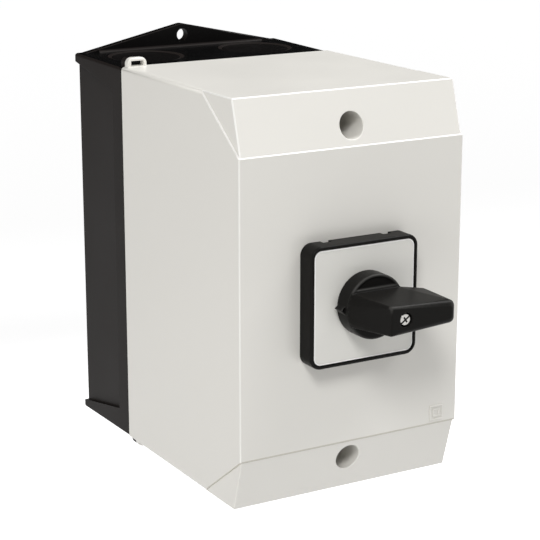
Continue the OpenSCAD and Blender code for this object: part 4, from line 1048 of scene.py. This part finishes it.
floor_pale = bpy.data.materials.new("floor_pale")
floor_pale.use_nodes = True
floor_tree = floor_pale.node_tree
floor_shader = floor_tree.nodes["Principled BSDF"]
floor_shader.inputs["Base Color"].default_value = (0.8, 0.8, 0.8, 1)
floor_shader.inputs["Roughness"].default_value = 0.9
floor_shader.inputs["Specular IOR Level"].default_value = 0.0
floor_shader.inputs["Emission Color"].default_value = (1, 1, 1, 1)
floor_place = floor_tree.nodes.new("ShaderNodeTexCoord").outputs["Object"]
far_out = wired(floor_tree, "ShaderNodeVectorMath", {0: floor_place}, operation="LENGTH").outputs["Value"]
floor_lift = wired(floor_tree, "ShaderNodeMapRange", {"Value": far_out, "From Min": 0.3, "From Max": 0.9,
                                                      "To Min": 0.4, "To Max": 0.85}).outputs["Result"]
floor_seen = wired(floor_tree, "ShaderNodeMath", {0: seen_rays(floor_tree), 1: floor_lift},
                   operation="MULTIPLY")
floor_tree.links.new(floor_seen.outputs[0], floor_shader.inputs["Emission Strength"])
floor.data.materials.append(floor_pale)

sky = bpy.data.worlds.new("studio_sky")
bpy.context.scene.world = sky
sky.use_nodes = True
sky_tree = sky.node_tree
dome = sky_tree.nodes["Background"]
dome.inputs["Color"].default_value = (1, 1, 1, 1)
dome_light = 0.2
sky_mix = wired(sky_tree, "ShaderNodeMapRange", {"Value": seen_rays(sky_tree), "To Min": dome_light,
                                                 "To Max": 1.0})
sky_tree.links.new(sky_mix.outputs["Result"], dome.inputs["Strength"])

part_middle = Vector((0, -0.09, 0))


def soft_lamp(name, direction, distance, size, watts, tint=(1, 1, 1)):
    """A square soft lamp that looks at the middle of the part."""
    lamp = bpy.data.lights.new(name, "AREA")
    lamp.shape = "SQUARE"
    lamp.size = size
    lamp.energy = watts
    lamp.color = tint
    holder = bpy.data.objects.new(name, lamp)
    aim = Vector(direction).normalized()
    holder.location = part_middle + aim * distance
    holder.rotation_euler = aim.to_track_quat("Z", "Y").to_euler()
    bpy.context.scene.collection.objects.link(holder)


soft_lamp("key_lamp", (-0.43, -0.62, 0.66), 1.4, 0.4, 10.6)
soft_lamp("left_lamp", (-0.97, -0.18, -0.15), 1.4, 0.9, 8.1, (1, 0.985, 0.95))
soft_lamp("top_lamp", (0.5, -0.05, 0.85), 1.4, 0.8, 22.4)

# Dark card: a black card behind the part on the right, out of the picture.
# It keeps the top of the base dark, as in the photograph.
card_left, card_right, card_foot, card_top = (-0.35, 0.55), (1.3, 0.25), 0.02, 1.8
card = flat_sheet("dark_card", [(*card_left, card_foot), (*card_right, card_foot), (*card_right, card_top),
                                (*card_left, card_top)])
card_black = bpy.data.materials.new("card_black")
card_black.use_nodes = True
card_shader = card_black.node_tree.nodes["Principled BSDF"]
card_shader.inputs["Base Color"].default_value = (0.01, 0.01, 0.01, 1)
card_shader.inputs["Specular IOR Level"].default_value = 0.0
card.data.materials.append(card_black)
card.visible_camera = False

# Camera: at the photograph's place, looking a little down on the front from the left.
# Its frame is square, and its long lens keeps the upright edges nearly parallel.
camera_data = bpy.data.cameras.new("camera")
camera_data.sensor_width = 36
camera_data.lens = 116.356
camera = bpy.data.objects.new("camera", camera_data)
camera.location = (-0.350795, -0.687295, 0.183459)
camera_back = Vector((-0.483826, -0.836056, 0.258693))
camera.rotation_euler = camera_back.to_track_quat("Z", "Y").to_euler()
bpy.context.scene.collection.objects.link(camera)
bpy.context.scene.camera = camera
bpy.context.scene.view_settings.view_transform = "Standard"
